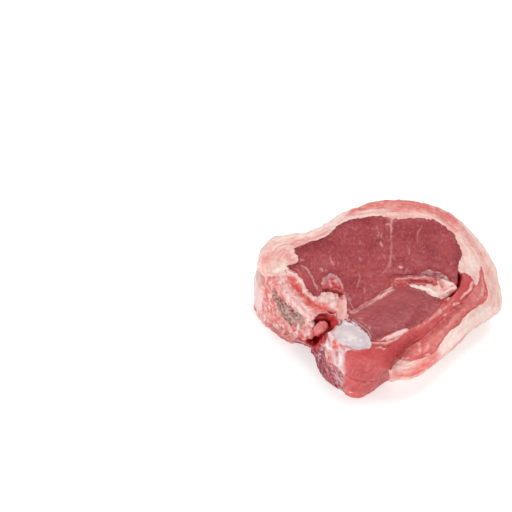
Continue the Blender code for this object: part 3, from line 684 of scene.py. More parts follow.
def apply_modifier(item: bpy.types.Object, kind: str, **settings: object) -> None:
    """Add a modifier with its settings and apply it."""
    select_only(item)
    modifier = item.modifiers.new(kind.title(), kind)
    for name, value in settings.items():
        setattr(modifier, name, value)
    bpy.ops.object.modifier_apply(modifier=modifier.name)


def vertex_rows(mesh: bpy.types.Mesh, name: str) -> np.ndarray:
    """Read a vertex property of three numbers as rows."""
    values = np.empty(3 * len(mesh.vertices), dtype=np.float32)
    mesh.vertices.foreach_get(name, values)
    return values.reshape(-1, 3).astype(float)


def write_points(mesh: bpy.types.Mesh, points: np.ndarray) -> None:
    """Move the vertices, in metres."""
    mesh.vertices.foreach_set("co", points.astype(np.float32).ravel())
    mesh.update()


def write_attribute(mesh: bpy.types.Mesh, name: str, values: np.ndarray) -> None:
    """Store one number or one vector for each vertex."""
    kind, key = ("FLOAT", "value") if values.ndim == 1 else ("FLOAT_VECTOR", "vector")
    attribute = mesh.attributes.new(name, kind, "POINT")
    attribute.data.foreach_set(key, values.astype(np.float32).ravel())


def node_mesh(node: str) -> bpy.types.Mesh:
    """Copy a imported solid's mesh, without its material."""
    data = bpy.data.objects[node].data.copy()
    data.materials.clear()
    for name in [attribute.name for attribute in data.color_attributes]:
        data.color_attributes.remove(data.color_attributes[name])
    return data


class Neighbours:
    """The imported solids, asked how near the next tissue is."""

    REACH = 2.6     # mm

    def __init__(self, frame: ChopFrame, nodes: Sequence[str]) -> None:
        """Read the solids' surfaces in plan mm."""
        self.solids = {}
        for node in nodes:
            mesh = bpy.data.objects[node].data
            points = frame.plan(vertex_rows(mesh, "co"))
            self.solids[node] = (points, [tuple(face.vertices) for face in mesh.polygons])

    def towards(self, plan: np.ndarray, left_out: Sequence[str]) -> tuple[np.ndarray, np.ndarray]:
        """Find the nearest neighbour of each point.

        Args:
            plan: points in plan mm.
            left_out: the point's own tissue and those that it stays open to.

        Returns:
            The distance in mm, infinite beyond reach, and the level direction there.
        """
        points, faces = [], []
        for node, (rows, polygons) in self.solids.items():
            if node not in left_out:
                faces += [[len(points) + corner for corner in face] for face in polygons]
                points += [tuple(row) for row in rows]
        tree = BVHTree.FromPolygons(points, faces)
        distances = np.full(len(plan), np.inf)
        directions = np.zeros((len(plan), 2))
        for index, point in enumerate(plan):
            spot, _, _, distance = tree.find_nearest(Vector(point), self.REACH)
            if spot is not None:
                distances[index] = distance
                directions[index] = spot.x - point[0], spot.y - point[1]
        directions /= np.maximum(np.linalg.norm(directions, axis=1), 1e-6)[:, None]
        return distances, directions


# Waves that run through all the tissues, and the rougher ones of torn and sawn tissue alone.
SHARED_WAVES: Waves = ((9.0, 0.25), (2.8, 0.1))
ROUGH: Waves = ((2.0, 0.2), (0.9, 0.14))


@dataclass
class Tissue:
    """One tissue of the chop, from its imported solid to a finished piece."""

    node: str
    piece: str
    finish: RawTissue
    frame: ChopFrame
    neighbours: Neighbours
    voxel: float                                # mm
    open_to: tuple[str, ...] = ()               # neighbours with a gap that stays
    swell: float = 0.1                          # growth all over, mm
    overlap: float = 0.5                        # how far its rim grows into a neighbour, mm
    own_waves: Waves = ((2.2, 0.14), (0.9, 0.07))
    gaps: tuple[Stroke, ...] = ()               # walls of a gap, painted blood red as shade
    strokes: tuple[Stroke, ...] = ()
    lumps: tuple[Lump, ...] = ()
    made: bpy.types.Object | None = field(default=None, init=False)

    def mesh(self) -> None:
        """Copy the solid, turn it to a fine even mesh, close its seams and give it relief."""
        piece = bpy.data.objects.new(self.piece, node_mesh(self.node))
        bpy.context.scene.collection.objects.link(piece)
        select_only(piece)
        bpy.ops.object.mode_set(mode="EDIT")
        bpy.ops.mesh.select_all(action="SELECT")
        bpy.ops.mesh.remove_doubles(threshold=1e-6)
        bpy.ops.object.mode_set(mode="OBJECT")
        self.add_lumps(piece)
        apply_modifier(piece, "REMESH", mode="VOXEL", voxel_size=self.voxel * MM, adaptivity=0.0)
        apply_modifier(piece, "SMOOTH", factor=0.5, iterations=SMOOTHING)
        self.made = piece
        self.close_seams()
        self.roll()
        select_only(piece)
        bpy.ops.object.shade_smooth()

    def add_lumps(self, piece: bpy.types.Object) -> None:
        """Join the lumps' balls to the copied solid."""
        if not self.lumps:
            return
        points = [tuple(row) for row in self.frame.plan(vertex_rows(piece.data, "co"))]
        faces = [tuple(face.vertices) for face in piece.data.polygons]
        solid = BVHTree.FromPolygons(points, faces)
        balls = []
        for lump in self.lumps:
            for middle, radius in lump.balls(solid):
                place = self.frame.frame(np.array(middle))
                bpy.ops.mesh.primitive_ico_sphere_add(
                    subdivisions=2, radius=radius * MM, location=tuple(place))
                balls.append(bpy.context.object)
        bpy.ops.object.select_all(action="DESELECT")
        for item in (*balls, piece):
            item.select_set(True)
        bpy.context.view_layer.objects.active = piece
        bpy.ops.object.join()

    def close_seams(self) -> None:
        """Grow the rims over the seams, so that neighbours meet in an uneven line."""
        mesh = self.made.data
        plan = self.frame.plan(vertex_rows(mesh, "co"))
        distances, directions = self.neighbours.towards(plan, (self.node, *self.open_to))
        near = np.exp(-(distances / SEAM_REACH) ** 2)
        above = ease(plan[:, 2], *SEAM_FOOT)
        own = len(self.piece)       # shifts the noise, so that each tissue has its own
        uneven = GRAIN.layered(plan + 7.0 * own, 2.4, 3)
        plan[:, :2] += directions * (self.overlap * near)[:, None]
        plan[:, 2] += (RIM_LIFT + RIM_WAVE * uneven) * near * above
        write_points(mesh, self.frame.frame(plan))

    def roll(self) -> None:
        """Roll the surface, and lift or sink its strokes."""
        mesh = self.made.data
        plan = self.frame.plan(vertex_rows(mesh, "co"))
        normals = vertex_rows(mesh, "normal")
        surface = Surface(plan, normals)
        out = np.full(len(plan), self.swell) + self.relief(surface)
        for size, depth in SHARED_WAVES:
            out += depth * GRAIN.layered(plan + 40.0, size)
        own = 13.0 * len(self.piece)
        for size, depth in self.own_waves:
            out += depth * GRAIN.layered(plan + own, size)
        for stroke in self.strokes:
            if stroke.lift:
                out += stroke.lift * surface.cover(stroke)
        moved = plan + normals * out[:, None]
        over = HEADROOM * (1.0 - np.exp(-np.maximum(moved[:, 2] - CREST, 0.0) / HEADROOM))
        moved[:, 2] = np.clip(moved[:, 2], 0.0, CREST) + over
        write_points(mesh, self.frame.frame(moved))

    def relief(self, surface: Surface) -> np.ndarray:
        """More relief of a tissue's own, mm; none unless it says so."""
        return np.zeros(len(surface.plan))

    def tints(self, surface: Surface) -> dict[str, np.ndarray]:
        """Work out the tints from the strokes.

        Args:
            surface: the finished surface.

        Returns:
            A share from 0 to 1 for each tint and vertex.
        """
        shares = {tint.value: np.zeros(len(surface.plan)) for tint in Tint}
        for stroke in self.strokes:
            self.raise_share(shares, stroke.tint, stroke.strength * surface.cover(stroke))
        # Painted shade: the gaps' strokes darken the steep walls inside a gap.
        walls = 1.0 - np.abs(surface.normals[:, 2])
        for gap in self.gaps:
            cover = gap.cover(surface.plan[:, :2])
            self.raise_share(shares, gap.tint, gap.strength * walls * cover)
        return shares

    @staticmethod
    def raise_share(shares: dict[str, np.ndarray], tint: Tint, share: np.ndarray) -> None:
        """Raise the shares of a tint to those given, where they are lower."""
        shares[tint.value] = np.maximum(shares[tint.value], share)

    def dress(self) -> None:
        """Store the tints, give the piece its finish and put it in the frame."""
        mesh = self.made.data
        plan = self.frame.plan(vertex_rows(mesh, "co"))
        surface = Surface(plan, vertex_rows(mesh, "normal"))
        for name, values in self.tints(surface).items():
            write_attribute(mesh, name, values)
        mesh.materials.clear()
        mesh.materials.append(self.finish.material())
        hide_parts(self.node)
        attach(self.made, "root")

    def build(self) -> bpy.types.Object:
        """Make and dress the piece.

        Returns:
            The finished piece.
        """
        self.mesh()
        self.dress()
        LOG.info("%s: %d faces", self.piece, len(self.made.data.polygons))
        return self.made


# ---------------------------------------------------------------- muscles
def marbling() -> list[Stroke]:
    """Small flecks of marbling strewn over the loin eye, mostly upright."""
    chance = np.random.default_rng(21)
    flecks = []
    for _ in range(60):
        x, y = chance.uniform(-28.0, 28.0), chance.uniform(-8.0, 29.0)
        length = chance.uniform(0.8, 3.6)
        lean = chance.normal(0.0, 0.3)
        flecks.append(fleck(
            chance.uniform(0.12, 0.24), chance.uniform(0.2, 0.5),
            (x, y), (x + lean * length, y - length)))
    return flecks


@dataclass
class LoinMuscle(Tissue):
    """The loin eye: fine marbling over lean, parted in two by an upright sheet of fascia."""

    strokes: tuple[Stroke, ...] = (
        fascia(0.5, 0.75, (5.3, 33), (5.3, 29), (4.9, 25.5), (4.6, 20.3)),
        fascia(0.32, 0.5, (4.6, 20.5), (4.5, 16), (4.1, 12.4), (3.5, 8), (2.4, 5), (0.6, 2)),
        fascia(0.42, 0.8, (2.8, 32.8), (4.8, 30.6), (5.4, 28.5)),
        fascia(0.4, 0.7, (7.6, 31.8), (5.8, 30.1), (5.3, 28.3)),
        fleck(0.5, 0.8, (2.9, 27.6), (4.6, 27.3)),
        fleck(0.28, 0.5, (-0.6, 26.5), (-0.2, 22), (-0.7, 19.8)),
        fleck(0.28, 0.6, (1.1, 22.5), (0.8, 19.8)),
        fleck(0.4, 0.8, (0.5, 17.6), (0.7, 15.2)),
        fleck(0.28, 0.55, (17.4, 26.5), (15.9, 24.3), (15, 21.2), (14.8, 17.6)),
        fleck(0.28, 0.5, (11.3, 14.1), (10.8, 11.5)),
        fleck(0.28, 0.6, (24, 22.9), (25.8, 21.2)),
        fleck(0.38, 0.9, (-22.9, 4.9), (-22.6, 2.8)),
        fleck(0.28, 0.5, (-21.2, 4.2), (-21, 3)),
        fleck(0.34, 0.6, (-19.5, 9.8), (-18.4, 5.5)),
        fleck(0.28, 0.7, (-8.6, 9.8), (-7.7, 8.1)),
        fleck(0.24, 0.6, (-8.9, 2.1), (-8.8, -2.2), (-9.6, -5.5)),
        fleck(0.55, 1, (6.7, 4.7), (7.9, 4.6)),
        fleck(0.22, 0.5, (-7, -5.1), (-6.9, -8)),
        fascia(0.3, 0.6, (-16.8, -5.1), (-15, -8), (-12.7, -13), (-11.1, -17)),
        fascia(0.3, 0.5, (-13.5, -8.8), (-12.4, -12.1)),
        fascia(0.5, 0.8, (-13.6, -16), (-11.4, -18.4), (-10.3, -16.8)),
        fascia(0.35, 0.6, (-12.2, -17.6), (-10, -15.9), (-5, -12.2), (-3, -10.8)),
        Stroke(Tint.PALE, ((-3.1, -11.4), (-1.3, -9.6), (1.1, -7.4), (3.6, -5.8)), 0.75, 0.4, 1,
               lift=0.3, broken=0.15),
        fascia(0.3, 0.8, (3.4, -5.6), (4, -3.8), (5, -2)),
        # Painted shadow under the eye's edge, above the rib.
        DEEP.cut(0.4, 0.8, 0.95, -0.15, (4.4, 1.2), (10, 1.1), (14, 1.7)),
        fascia(0.28, 1, (-31, 5.8), (-29.2, 4.6), (-27.4, 2), (-25.9, -3), (-24.6, -6.8),
               lift=0.25),
        fleck(0.34, 0.7, (-31.1, 9.3), (-29.2, 8.1)),
        fleck(0.28, 0.5, (-32.3, 7.8), (-29.8, 8.6)),
        # Painted shade along the upper left edge, where the eye sinks below the fat.
        DEEP.cut(0.9, 1.3, 0.5, 0, (-31.5, 14.5), (-27, 17.5), (-21, 20), (-17.5, 24),
                 (-12.5, 28.2), (-5, 31)),
        DEEP.cut(2.6, 2.5, 0.28, 0, (-29, 15), (-24, 15.5)),
        DEEP.cut(2.5, 4, 0.22, 0, (20, 7), (20, 15), (17, 24)),
        # Painted shadow along the right rim, cast by the fat.
        DEEP.cut(0.8, 1.4, 0.35, 0, (30.6, 18), (30.2, 10), (28.6, 4)),
        FLUSH.cut(5, 7, 0.35, 0, (-3, 5), (2, -2)),
        FLUSH.cut(2, 3.5, 0.4, 0, (26, 12), (27, 20)),
        *marbling())

    def relief(self, surface: Surface) -> np.ndarray:
        """Sink the eye a little below the fat along its upper left edge."""
        edge = DEEP.cut(0.6, 1.6, 1, 0, (-33, 13.5), (-28, 18.5), (-22, 20.8), (-15, 28.2),
                        (-5, 32))
        return -0.4 * surface.cover(edge)


@dataclass
class SmallMuscle(Tissue):
    """The muscle beside the backbone, streaked lengthwise."""

    strokes: tuple[Stroke, ...] = (
        fleck(0.3, 0.4, (-34, 5.4), (-31.8, 3.4), (-30.4, -0.5)),
        fleck(0.2, 0.35, (-31.6, 6.6), (-29.4, 3), (-27.8, -1.2)),
        DEEP.cut(0.9, 0.9, 0.5, -0.3, (-34.8, 6), (-32.6, 7.4)),
        FLUSH.cut(1, 1.2, 0.65, 0, (-33, 4), (-30.4, 0.6), (-28, -4.6)),
        DEEP.cut(0.5, 0.9, 0.4, 0, (-28.4, -6.4), (-26.2, -9.6)))


@dataclass
class Fillet(Tissue):
    """The tenderloin: close grain that sweeps along it, with torn fascia at its lower edge."""

    strokes: tuple[Stroke, ...] = (
        fascia(0.32, 0.85, (-12.4, -21.4), (-9, -24.2), (-6.6, -27.6), (-5.4, -30.6)),
        fascia(0.22, 0.4, (-11.4, -20.2), (-7.4, -24), (-4.4, -29.4)),
        fascia(0.3, 0.6, (-12, -18.2), (-5, -13.2), (-2.8, -11.2)),
        Stroke(Tint.PALE, ((-3.4, -11.9), (-1.2, -9.9), (1.4, -8), (4, -6.6)), 0.5, 0.4, 1,
               lift=0.2, broken=0.15),
        fleck(0.28, 0.7, (-6.3, -24.4), (-5.9, -25.4)),
        fleck(0.4, 0.45, (-9.6, -20.4), (-8.2, -21.4)),
        DEEP.cut(0.9, 2, 0.35, 0, (21.4, -11.4), (16, -9.4), (11, -7)),
        DEEP.cut(0.5, 1.2, 0.45, 0, (-5, -29.2), (3, -26.7), (12, -21.2)),
        DEEP.cut(0.5, 1.2, 0.45, 0, (-9, -24.6), (-6.8, -28.8)),
        FLUSH.cut(1.3, 2.5, 0.4, 0, (-8, -19), (0, -12), (6, -8.4)),
        *(fleck(0.2, 0.07, (-9 + 2.6 * step, -21 - 1.3 * step),
                (-2 + 2.3 * step, -14.5 - 1.6 * step), (8 + 1.5 * step, -8.4 - 1.9 * step))
          for step in range(6)))
    lumps: tuple[Lump, ...] = (
        Lump(((-1, -9.7), (1.4, -8), (4, -6.6)), 0.7, -0.1),
        Lump(((-12.4, -21.4), (-9, -24.2), (-6.6, -27.6), (-5.4, -30.6)), 0.35, 0.1))


def fibres() -> list[Stroke]:
    """Light and dark fibres that fan down the lobe at the front of the flank."""
    chance = np.random.default_rng(17)
    strokes = []
    for _ in range(70):
        across, up = chance.uniform(-15.0, 4.0), chance.uniform(5.0, 25.0)
        length = chance.uniform(2.0, 7.0)
        lean = -0.2 - 0.03 * (across + 15.0)
        tint = Tint(chance.choice(["pale", "deep", "flush", "deep"]))
        path = ((across, up), (across + 0.35 * lean * length, up - 0.5 * length),
                (across + lean * length, up - length))
        strokes.append(Stroke(
            tint, path, chance.uniform(0.1, 0.3), 0.35,
            chance.uniform(0.1, 0.3) * (2.0 if tint is Tint.FLUSH else 1.0),
            chance.uniform(-0.12, 0.12), Face.FRONT, broken=0.3))
    return strokes


# The groove between the flank's layers, from its right end to the lobe; shade is painted along it.
GROOVE = ((33.4, -6.2), (28.6, -11), (23, -17), (17, -22.4), (11.7, -26.4), (6.4, -31),
          (3.8, -34.4), (1.6, -38))


@dataclass
class InnerFlank(Tissue):
    """The flank's inner layer, with the lobe that hangs at the front."""

    strokes: tuple[Stroke, ...] = (
        # Painted shade in the groove between the layers, darkest at its lower end.
        DEEP.cut(0.4, 1.3, 0.4, 0, *GROOVE[:5]),
        DEEP.cut(0.9, 1.8, 0.7, -0.3, *GROOVE[4:]),
        DEEP.cut(1.2, 1.4, 0.75, -0.2, (6.6, -31.2), (4.6, -33.8), (2.8, -37)),
        fascia(0.5, 0.75, (35, -1), (33, -4.6), (29.6, -8.6)),
        fascia(0.7, 0.8, (28.8, -10.2), (26.8, -11.6)),
        fascia(0.6, 0.85, (24.9, -14.6), (22.8, -16.4)),
        fleck(0.4, 0.4, (27, -9.4), (20, -16.4), (12, -23.6)),
        fleck(0.5, 0.6, (21.8, -14.6), (20.6, -15.6)),
        fleck(0.7, 0.95, (24.8, -9.8), (23.4, -10.8)),
        FLUSH.cut(0.9, 1.8, 0.6, 0, (32, -1), (28, -8.2), (20, -15.6), (10, -24.6), (2, -30),
                  (-4, -33)),
        Stroke(Tint.PALE, ((0.4, -30.3), (4.5, -27.5), (8.3, -25.3)), 0.85, 0.4, 1, broken=0.1),
        Stroke(Tint.PALE, ((-6.2, -31), (-1.6, -30), (3.2, -28.4), (5.8, -26.8)), 0.42, 0.3, 0.95,
               broken=0.2),
        Stroke(Tint.PALE, ((-5.6, -32.6), (-2.4, -32), (1.8, -30.6), (5, -28.6)), 0.36, 0.3, 0.85,
               broken=0.3),
        Stroke(Tint.PALE, ((-3.8, -33.6), (-0.4, -32.7)), 0.3, 0.3, 0.8, broken=0.3),
        # Painted shade in the gaps between the slips.
        Stroke(Tint.DEEP, ((-5.4, -31.7), (-1, -31), (3, -29.6)), 0.25, 0.3, 0.7, lift=-0.35),
        Stroke(Tint.DEEP, ((-4, -33.1), (-0.6, -32.3), (2.4, -31)), 0.25, 0.3, 0.6, lift=-0.3),
        # Painted shade in the crevice beside the loin.
        DEEP.cut(0.7, 1, 0.9, 0, (30.2, 1.6), (29.4, -3), (27, -6.4), (22.6, -10.8)),
        PALE.cut(0.3, 0.4, 0.6, 0, (-15.6, -35.2), (-10, -35.4), (-6.4, -34.2)),
        # Painted shade in the lobe's crease.
        DEEP.front(0.4, 1.3, 0.5, -0.5, (-15, 13.4), (-10.5, 12.6), (-6, 10.8), (-2, 8.4)),
        FLUSH.front(1.8, 2.4, 0.6, 0.35, (-13.5, 4), (-9, 2.6), (-3, 5)),
        FLUSH.front(1.2, 2.5, 0.4, 0, (-12, 22.5), (-6, 22), (0, 20)),
        # Painted shade down the lobe's right end, where it meets the fat's tail.
        DEEP.front(1, 2.6, 0.6, 0, (0.6, 20), (0, 12), (-1.6, 4)),
        DEEP.front(0.5, 1.2, 0.4, 0, (-14, 8.4), (-10, 6.6), (-5, 8)),
        DEEP.front(1.6, 3, 0.22, 0, (-10, 20), (-7, 15)),
        DEEP.front(2, 3, 0.22, 0, (-12, 16), (-8, 15)),
        # Painted highlights at the foot of the lobe.
        PALE.front(0.3, 0.3, 1, 0.2, (-12.9, 4), (-12, 4.4)),
        PALE.front(0.22, 0.3, 0.9, 0.2, (-4.6, 4.8), (-4.1, 4)),
        PALE.front(0.3, 0.4, 0.7, 0, (-15.6, 23), (-15.4, 12), (-15.2, 3)),
        *fibres())
    lumps: tuple[Lump, ...] = (
        Lump(((1, -29.9), (4.5, -27.5), (7.9, -25.5)), 1.1),
        Lump(((-6.2, -31), (-1.6, -30), (3.2, -28.4), (5.8, -26.8)), 0.7, 0.15),
        Lump(((-5.6, -32.6), (-2.4, -32), (1.8, -30.6), (5, -28.6)), 0.6, 0.1),
        Lump(((-3.8, -33.6), (-0.4, -32.7)), 0.6),
        Lump(((24.9, -14.6), (22.8, -16.4)), 0.8),
        Lump(((29.4, -9.6), (26.8, -11.6)), 0.8),
        Lump(((24.8, -9.8), (23.4, -10.8)), 1, 0.1),
        Lump(((34.4, -2), (33, -4.6), (30.6, -7.6)), 0.6))


@dataclass
class OuterFlank(Tissue):
    """The flank's outer layer, streaked with fat."""

    strokes: tuple[Stroke, ...] = (
        # Painted shade along the groove between the flank's layers.
        DEEP.cut(0.5, 1.6, 0.5, -0.15, (33, -7), (28, -12.4), (22.4, -18.4), (16.4, -24),
                 (11, -28.4), (7.4, -31.4)),
        fleck(0.5, 0.5, (38, 5), (39, -2), (36.4, -6.4)),
        fleck(0.5, 0.4, (31, -11.5), (25, -18), (20, -23.5)),
        fascia(0.6, 0.75, (12.9, -30.2), (12.9, -27.8)),
        fascia(0.5, 0.5, (16.8, -27.4), (14.2, -29.8)),
        fascia(0.7, 0.7, (6.8, -32.4), (5.6, -33.6)),
        fascia(0.4, 0.6, (8.6, -31.8), (7.8, -32.6)),
        fascia(0.6, 0.9, (14.6, -31.6), (16.6, -30.9), lift=0.4),
        DEEP.cut(0.5, 0.8, 0.5, 0, (38.2, 8), (37.6, 3), (36, -1)),
        DEEP.cut(0.3, 0.9, 0.55, 0, (18.4, -30.2), (21.4, -26), (25, -20.8), (30.6, -14.2),
                 (37.4, -7.8)),
        FLUSH.cut(1, 1.8, 0.7, 0, (10, -30), (16, -28), (22, -22)),
        FLUSH.cut(1, 1.8, 0.5, 0, (38, -2), (31, -11)))
    lumps: tuple[Lump, ...] = (
        Lump(((12.9, -30.2), (12.9, -27.8)), 0.8),)


# ---------------------------------------------------------------- fat
KNOB_FOOT = 20.2                # height at which the knob's underside is pinched in, mm
KNOB_PINCH = 3.2                # how deep, mm
BAND = smooth_path((            # the middle of the fat's band, from the knob to the tail
    (-44, 3), (-44.5, 9), (-41, 15.5), (-35, 19), (-27, 21.8), (-20, 26.2), (-11, 33), (-3, 36.6),
    (8, 37.6), (18, 36.2), (27, 31), (34, 22.5), (39, 13), (41.5, 4), (43.5, -4), (38, -11),
    (31, -18), (25, -25), (18, -32.5), (11, -37.4), (4, -38.6)))


def streaks() -> list[Stroke]:
    """Blood-tinged fibres along the upper part of the band."""
    chance = np.random.default_rng(5)
    normal = np.gradient(BAND, axis=0)
    normal = np.stack([-normal[:, 1], normal[:, 0]], axis=1)
    normal /= np.linalg.norm(normal, axis=1)[:, None]
    strokes = []
    for _ in range(46):
        start = int(chance.integers(34, 66))
        end = start + int(chance.integers(5, 14))
        shift = chance.uniform(-2.2, 4.0)
        line = BAND[start:end:3] + shift * normal[start:end:3]
        strokes.append(Stroke(
            Tint.DEEP, tuple(map(tuple, line)), chance.uniform(0.1, 0.28), 0.3,
            chance.uniform(0.25, 0.65), -0.05))
    return strokes


@dataclass
class BackFat(Tissue):
    """The fat over the back, with streaks that run along its band."""

    strokes: tuple[Stroke, ...] = (
        FLUSH.cut(2.4, 1.6, 0.85, 0, (-12, 33.5), (-8, 36), (-1, 38.4), (8, 39.4), (18, 37.8),
                  (27, 32.4), (33, 25.5)),
        FLUSH.cut(1.2, 1.2, 0.85, 0, (6, 35.4), (15, 35.8), (24, 32), (30.6, 24.4)),
        DEEP.cut(0.18, 0.4, 0.55, 0, (5.6, 34.4), (9, 34.8), (12.6, 34.4)),
        PALE.cut(0.5, 0.8, 0.6, 0.15, (-9, 33.6), (-2, 35.4), (3, 35.6)),
        FLUSH.cut(1.2, 2.2, 0.4, 0, (34, 23), (39, 14), (41, 6)),
        FLUSH.cut(2.2, 1.8, 1, 0, (2, -40), (9, -37.8), (14.6, -35), (19, -31)),
        FLUSH.cut(0.8, 1.2, 0.55, 0, (-33, 16), (-26, 19.8), (-20, 23.4)),
        FLUSH.cut(1.2, 1.6, 0.6, 0, (-45, 8), (-43.4, 10.4), (-42, 12.4)),
        FLUSH.cut(1.2, 2, 0.5, 0, (-36, 13), (-35, 8)),
        PALE.cut(1.2, 1.2, 0.75, 0, (-41, 19.5), (-34, 21.3), (-27, 22.8), (-20, 28), (-12, 34.2)),
        PALE.cut(2.2, 1.8, 0.8, 0, (41, -8), (32, -16.8), (25, -24.6), (21.6, -28.6)),
        PALE.cut(1.2, 1.6, 0.6, 0, (33, 29), (39.5, 19.5), (44.5, 8), (46.2, -2)),
        PALE.cut(1.8, 1.6, 0.7, 0, (34, 3), (34.8, 9), (33.4, 16)),
        PALE.cut(0.4, 0.4, 0.9, 0, (-11.6, 30.8), (-4.3, 32.6), (2.3, 33)),
        # Painted highlights on the knob's lit side and left edge.
        PALE.cut(1.4, 1.2, 0.8, 0, (-38.6, 2.6), (-37.4, 5.6)),
        PALE.cut(0.8, 1.4, 0.6, 0, (-47, 5), (-46.6, 11), (-42.6, 17)),
        DEEP.cut(0.2, 0.5, 0.6, 0, (41.4, -11.6), (36.6, -15.8), (31.6, -21), (24.4, -28.2)),
        # Painted highlight on the knob, raised.
        PALE.cut(1, 1, 1, 0.3, (-41, 2.6), (-38, 4.8), (-37, 7.6)),
        FLUSH.cut(0.7, 0.9, 0.7, -0.1, (-33.6, 17.4), (-31, 19), (-26.6, 20.4)),
        FLUSH.cut(1, 1.2, 0.7, 0, (-44.8, 9.2), (-43, 10.8)),
        FLUSH.cut(0.5, 1, 0.6, -0.15, (-38.4, 12.8), (-36, 10.2), (-35.4, 8.4)),
        DEEP.cut(0.4, 0.6, 0.7, 0, (-34.4, 16.6), (-33.8, 17.4)),
        FLUSH.cut(0.3, 0.7, 0.6, 0, (-43.4, 2), (-41, 1.4), (-38.6, 1.6)),
        DULL.sawn(8.6, 2, 0.95, 0, (-9, 9), (-2, 9)),
        # Painted shade in the notch under the knob, on the sawn face.
        FLUSH.sawn(2, 1.4, 0.85, 0, (-6, 20.8), (-2, 20.8), (0.5, 20.8)),
        DEEP.sawn(0.5, 1, 0.5, 0, (-5, 19.8), (-1, 19.8)),
        # Painted shade in the crease between the lobe and the fat's tail.
        DEEP.front(0.8, 1.4, 0.5, 0, (3.4, 20), (2.4, 10), (1.8, 3)),
        FLUSH.sawn(0.8, 0.8, 0.8, 0.5, (-3.4, 4.6), (-3.6, 1.6)),
        DEEP.sawn(0.6, 0.7, 0.95, -0.3, (-2.6, 3.4), (-2.4, 1.4)),
        DEEP.sawn(0.9, 1, 0.6, 0, (0.4, 4.6), (1, 2)),
        *streaks())

    @staticmethod
    def flow(plan: np.ndarray) -> np.ndarray:
        """Coordinates that follow the band: along it, across it and up, in metres."""
        sides = np.diff(BAND, axis=0)
        lengths = np.linalg.norm(sides, axis=1)
        starts = np.concatenate([[0.0], np.cumsum(lengths)])
        best = np.full(len(plan), np.inf)
        along = np.zeros(len(plan))
        across = np.zeros(len(plan))
        for point, side, length, start in zip(BAND, sides, lengths, starts):
            away = plan[:, :2] - point
            share = np.clip(away @ side / length ** 2, 0.0, 1.0)
            distance = np.linalg.norm(away - share[:, None] * side, axis=1)
            turn = np.sign(side[0] * away[:, 1] - side[1] * away[:, 0])
            nearer = distance < best
            best = np.where(nearer, distance, best)
            along = np.where(nearer, start + share * length, along)
            across = np.where(nearer, turn * distance, across)
        return np.stack([along, across, plan[:, 2]], axis=1) * MM

    def relief(self, surface: Surface) -> np.ndarray:
        """Ridge the band along its fibres, and pinch it in below the knob."""
        plan = surface.plan
        flow = self.flow(plan) / MM
        ridges = 0.14 * GRAIN.at(flow + 9.0, (10.0, 1.3, 4.0))
        side = ease(-surface.normals[:, 0], 0.2, 0.7) * ease(plan[:, 0], -38.0, -42.0)
        pinch = np.exp(-(((plan[:, 2] - KNOB_FOOT) / 2.4) ** 2)) * ease(plan[:, 1], 17.0, 9.0)
        fine = 0.07 * GRAIN.at(flow + 23.0, (6.0, 0.7, 2.0))
        return ridges + fine - KNOB_PINCH * side * pinch

    def tints(self, surface: Surface) -> dict[str, np.ndarray]:
        """Redden the underside of the knob: painted shade where it turns from the light."""
        shares = super().tints(surface)
        # Painted shade: downward-facing fat above the foot is tinted flush.
        under = ease(-surface.normals[:, 2], 0.02, 0.4) * ease(surface.plan[:, 2], 8.0, 14.0)
        self.raise_share(shares, Tint.FLUSH, 0.7 * under)
        return shares

    def dress(self) -> None:
        """Add the coordinates that the grain follows."""
        plan = self.frame.plan(vertex_rows(self.made.data, "co"))
        write_attribute(self.made.data, "flow", self.flow(plan))
        super().dress()


@dataclass
class SeamFat(Tissue):
    """The fat between loin, fillet and flank, under a purplish membrane above the rib."""

    strokes: tuple[Stroke, ...] = (
        DULL.cut(1.5, 0.9, 1, 0, (12, 0.9), (16, 1.7), (18.8, 2), (21.4, 1), (23.4, -0.6)),
        DULL.cut(0.9, 0.6, 1, 0, (12.6, 0.2), (17, 0.4), (20.4, -0.6), (21.4, -1.4)),
        DEEP.cut(1.1, 0.9, 0.42, 0, (13, 0.9), (16, 1.7), (18.8, 1.8), (21.4, 0.6), (24.6, -1.6)),
        PALE.cut(0.2, 0.4, 0.35, 0.1, (17.6, 3.4), (19.4, 2.9), (21.6, 2)),
        PALE.cut(0.8, 0.7, 0.9, 0.3, (23.4, -1.8), (25, -3.4), (26.6, -4.6)),
        DULL.cut(0.5, 0.6, 0.8, 0, (23.4, -0.2), (25.6, -1.8), (27.4, -3.4)),
        FLUSH.cut(0.7, 0.8, 1, -0.3, (22.4, -2.6), (22.7, -4.4), (22.9, -6)),
        FLUSH.cut(0.3, 0.6, 0.9, -0.2, (23.2, -6.1), (26.3, -5.2)),
        DULL.cut(0.4, 0.6, 0.8, 0, (21.6, -1.6), (22, -3)),
        PALE.cut(0.9, 0.6, 1, 0.1, (9.8, -4.7), (14.1, -5.4), (17.6, -6.6), (20.4, -8.4)),
        FLUSH.cut(0.3, 0.6, 0.7, 0, (22, -8.6), (24.6, -7)),
        PALE.cut(0.6, 0.6, 0.9, 0.2, (23.5, -7.5), (26, -6.2), (28.2, -4.9)),
        DEEP.cut(0.25, 0.6, 0.6, 0, (20.8, -9.6), (23.6, -8.9), (26.8, -6.9)))
    lumps: tuple[Lump, ...] = (
        Lump(((22.8, -1.6), (24.8, -3.2), (26.4, -4.4)), 0.8, 0.1),
        Lump(((23.9, -7.4), (26, -6.4), (28.4, -4.9)), 0.9, 0.3),
        Lump(((21, -7), (21.6, -4.6)), 0.8),
        Lump(((12.6, -5.2), (15.4, -5.8), (17.6, -6.6), (20.2, -8)), 0.7, -0.1))


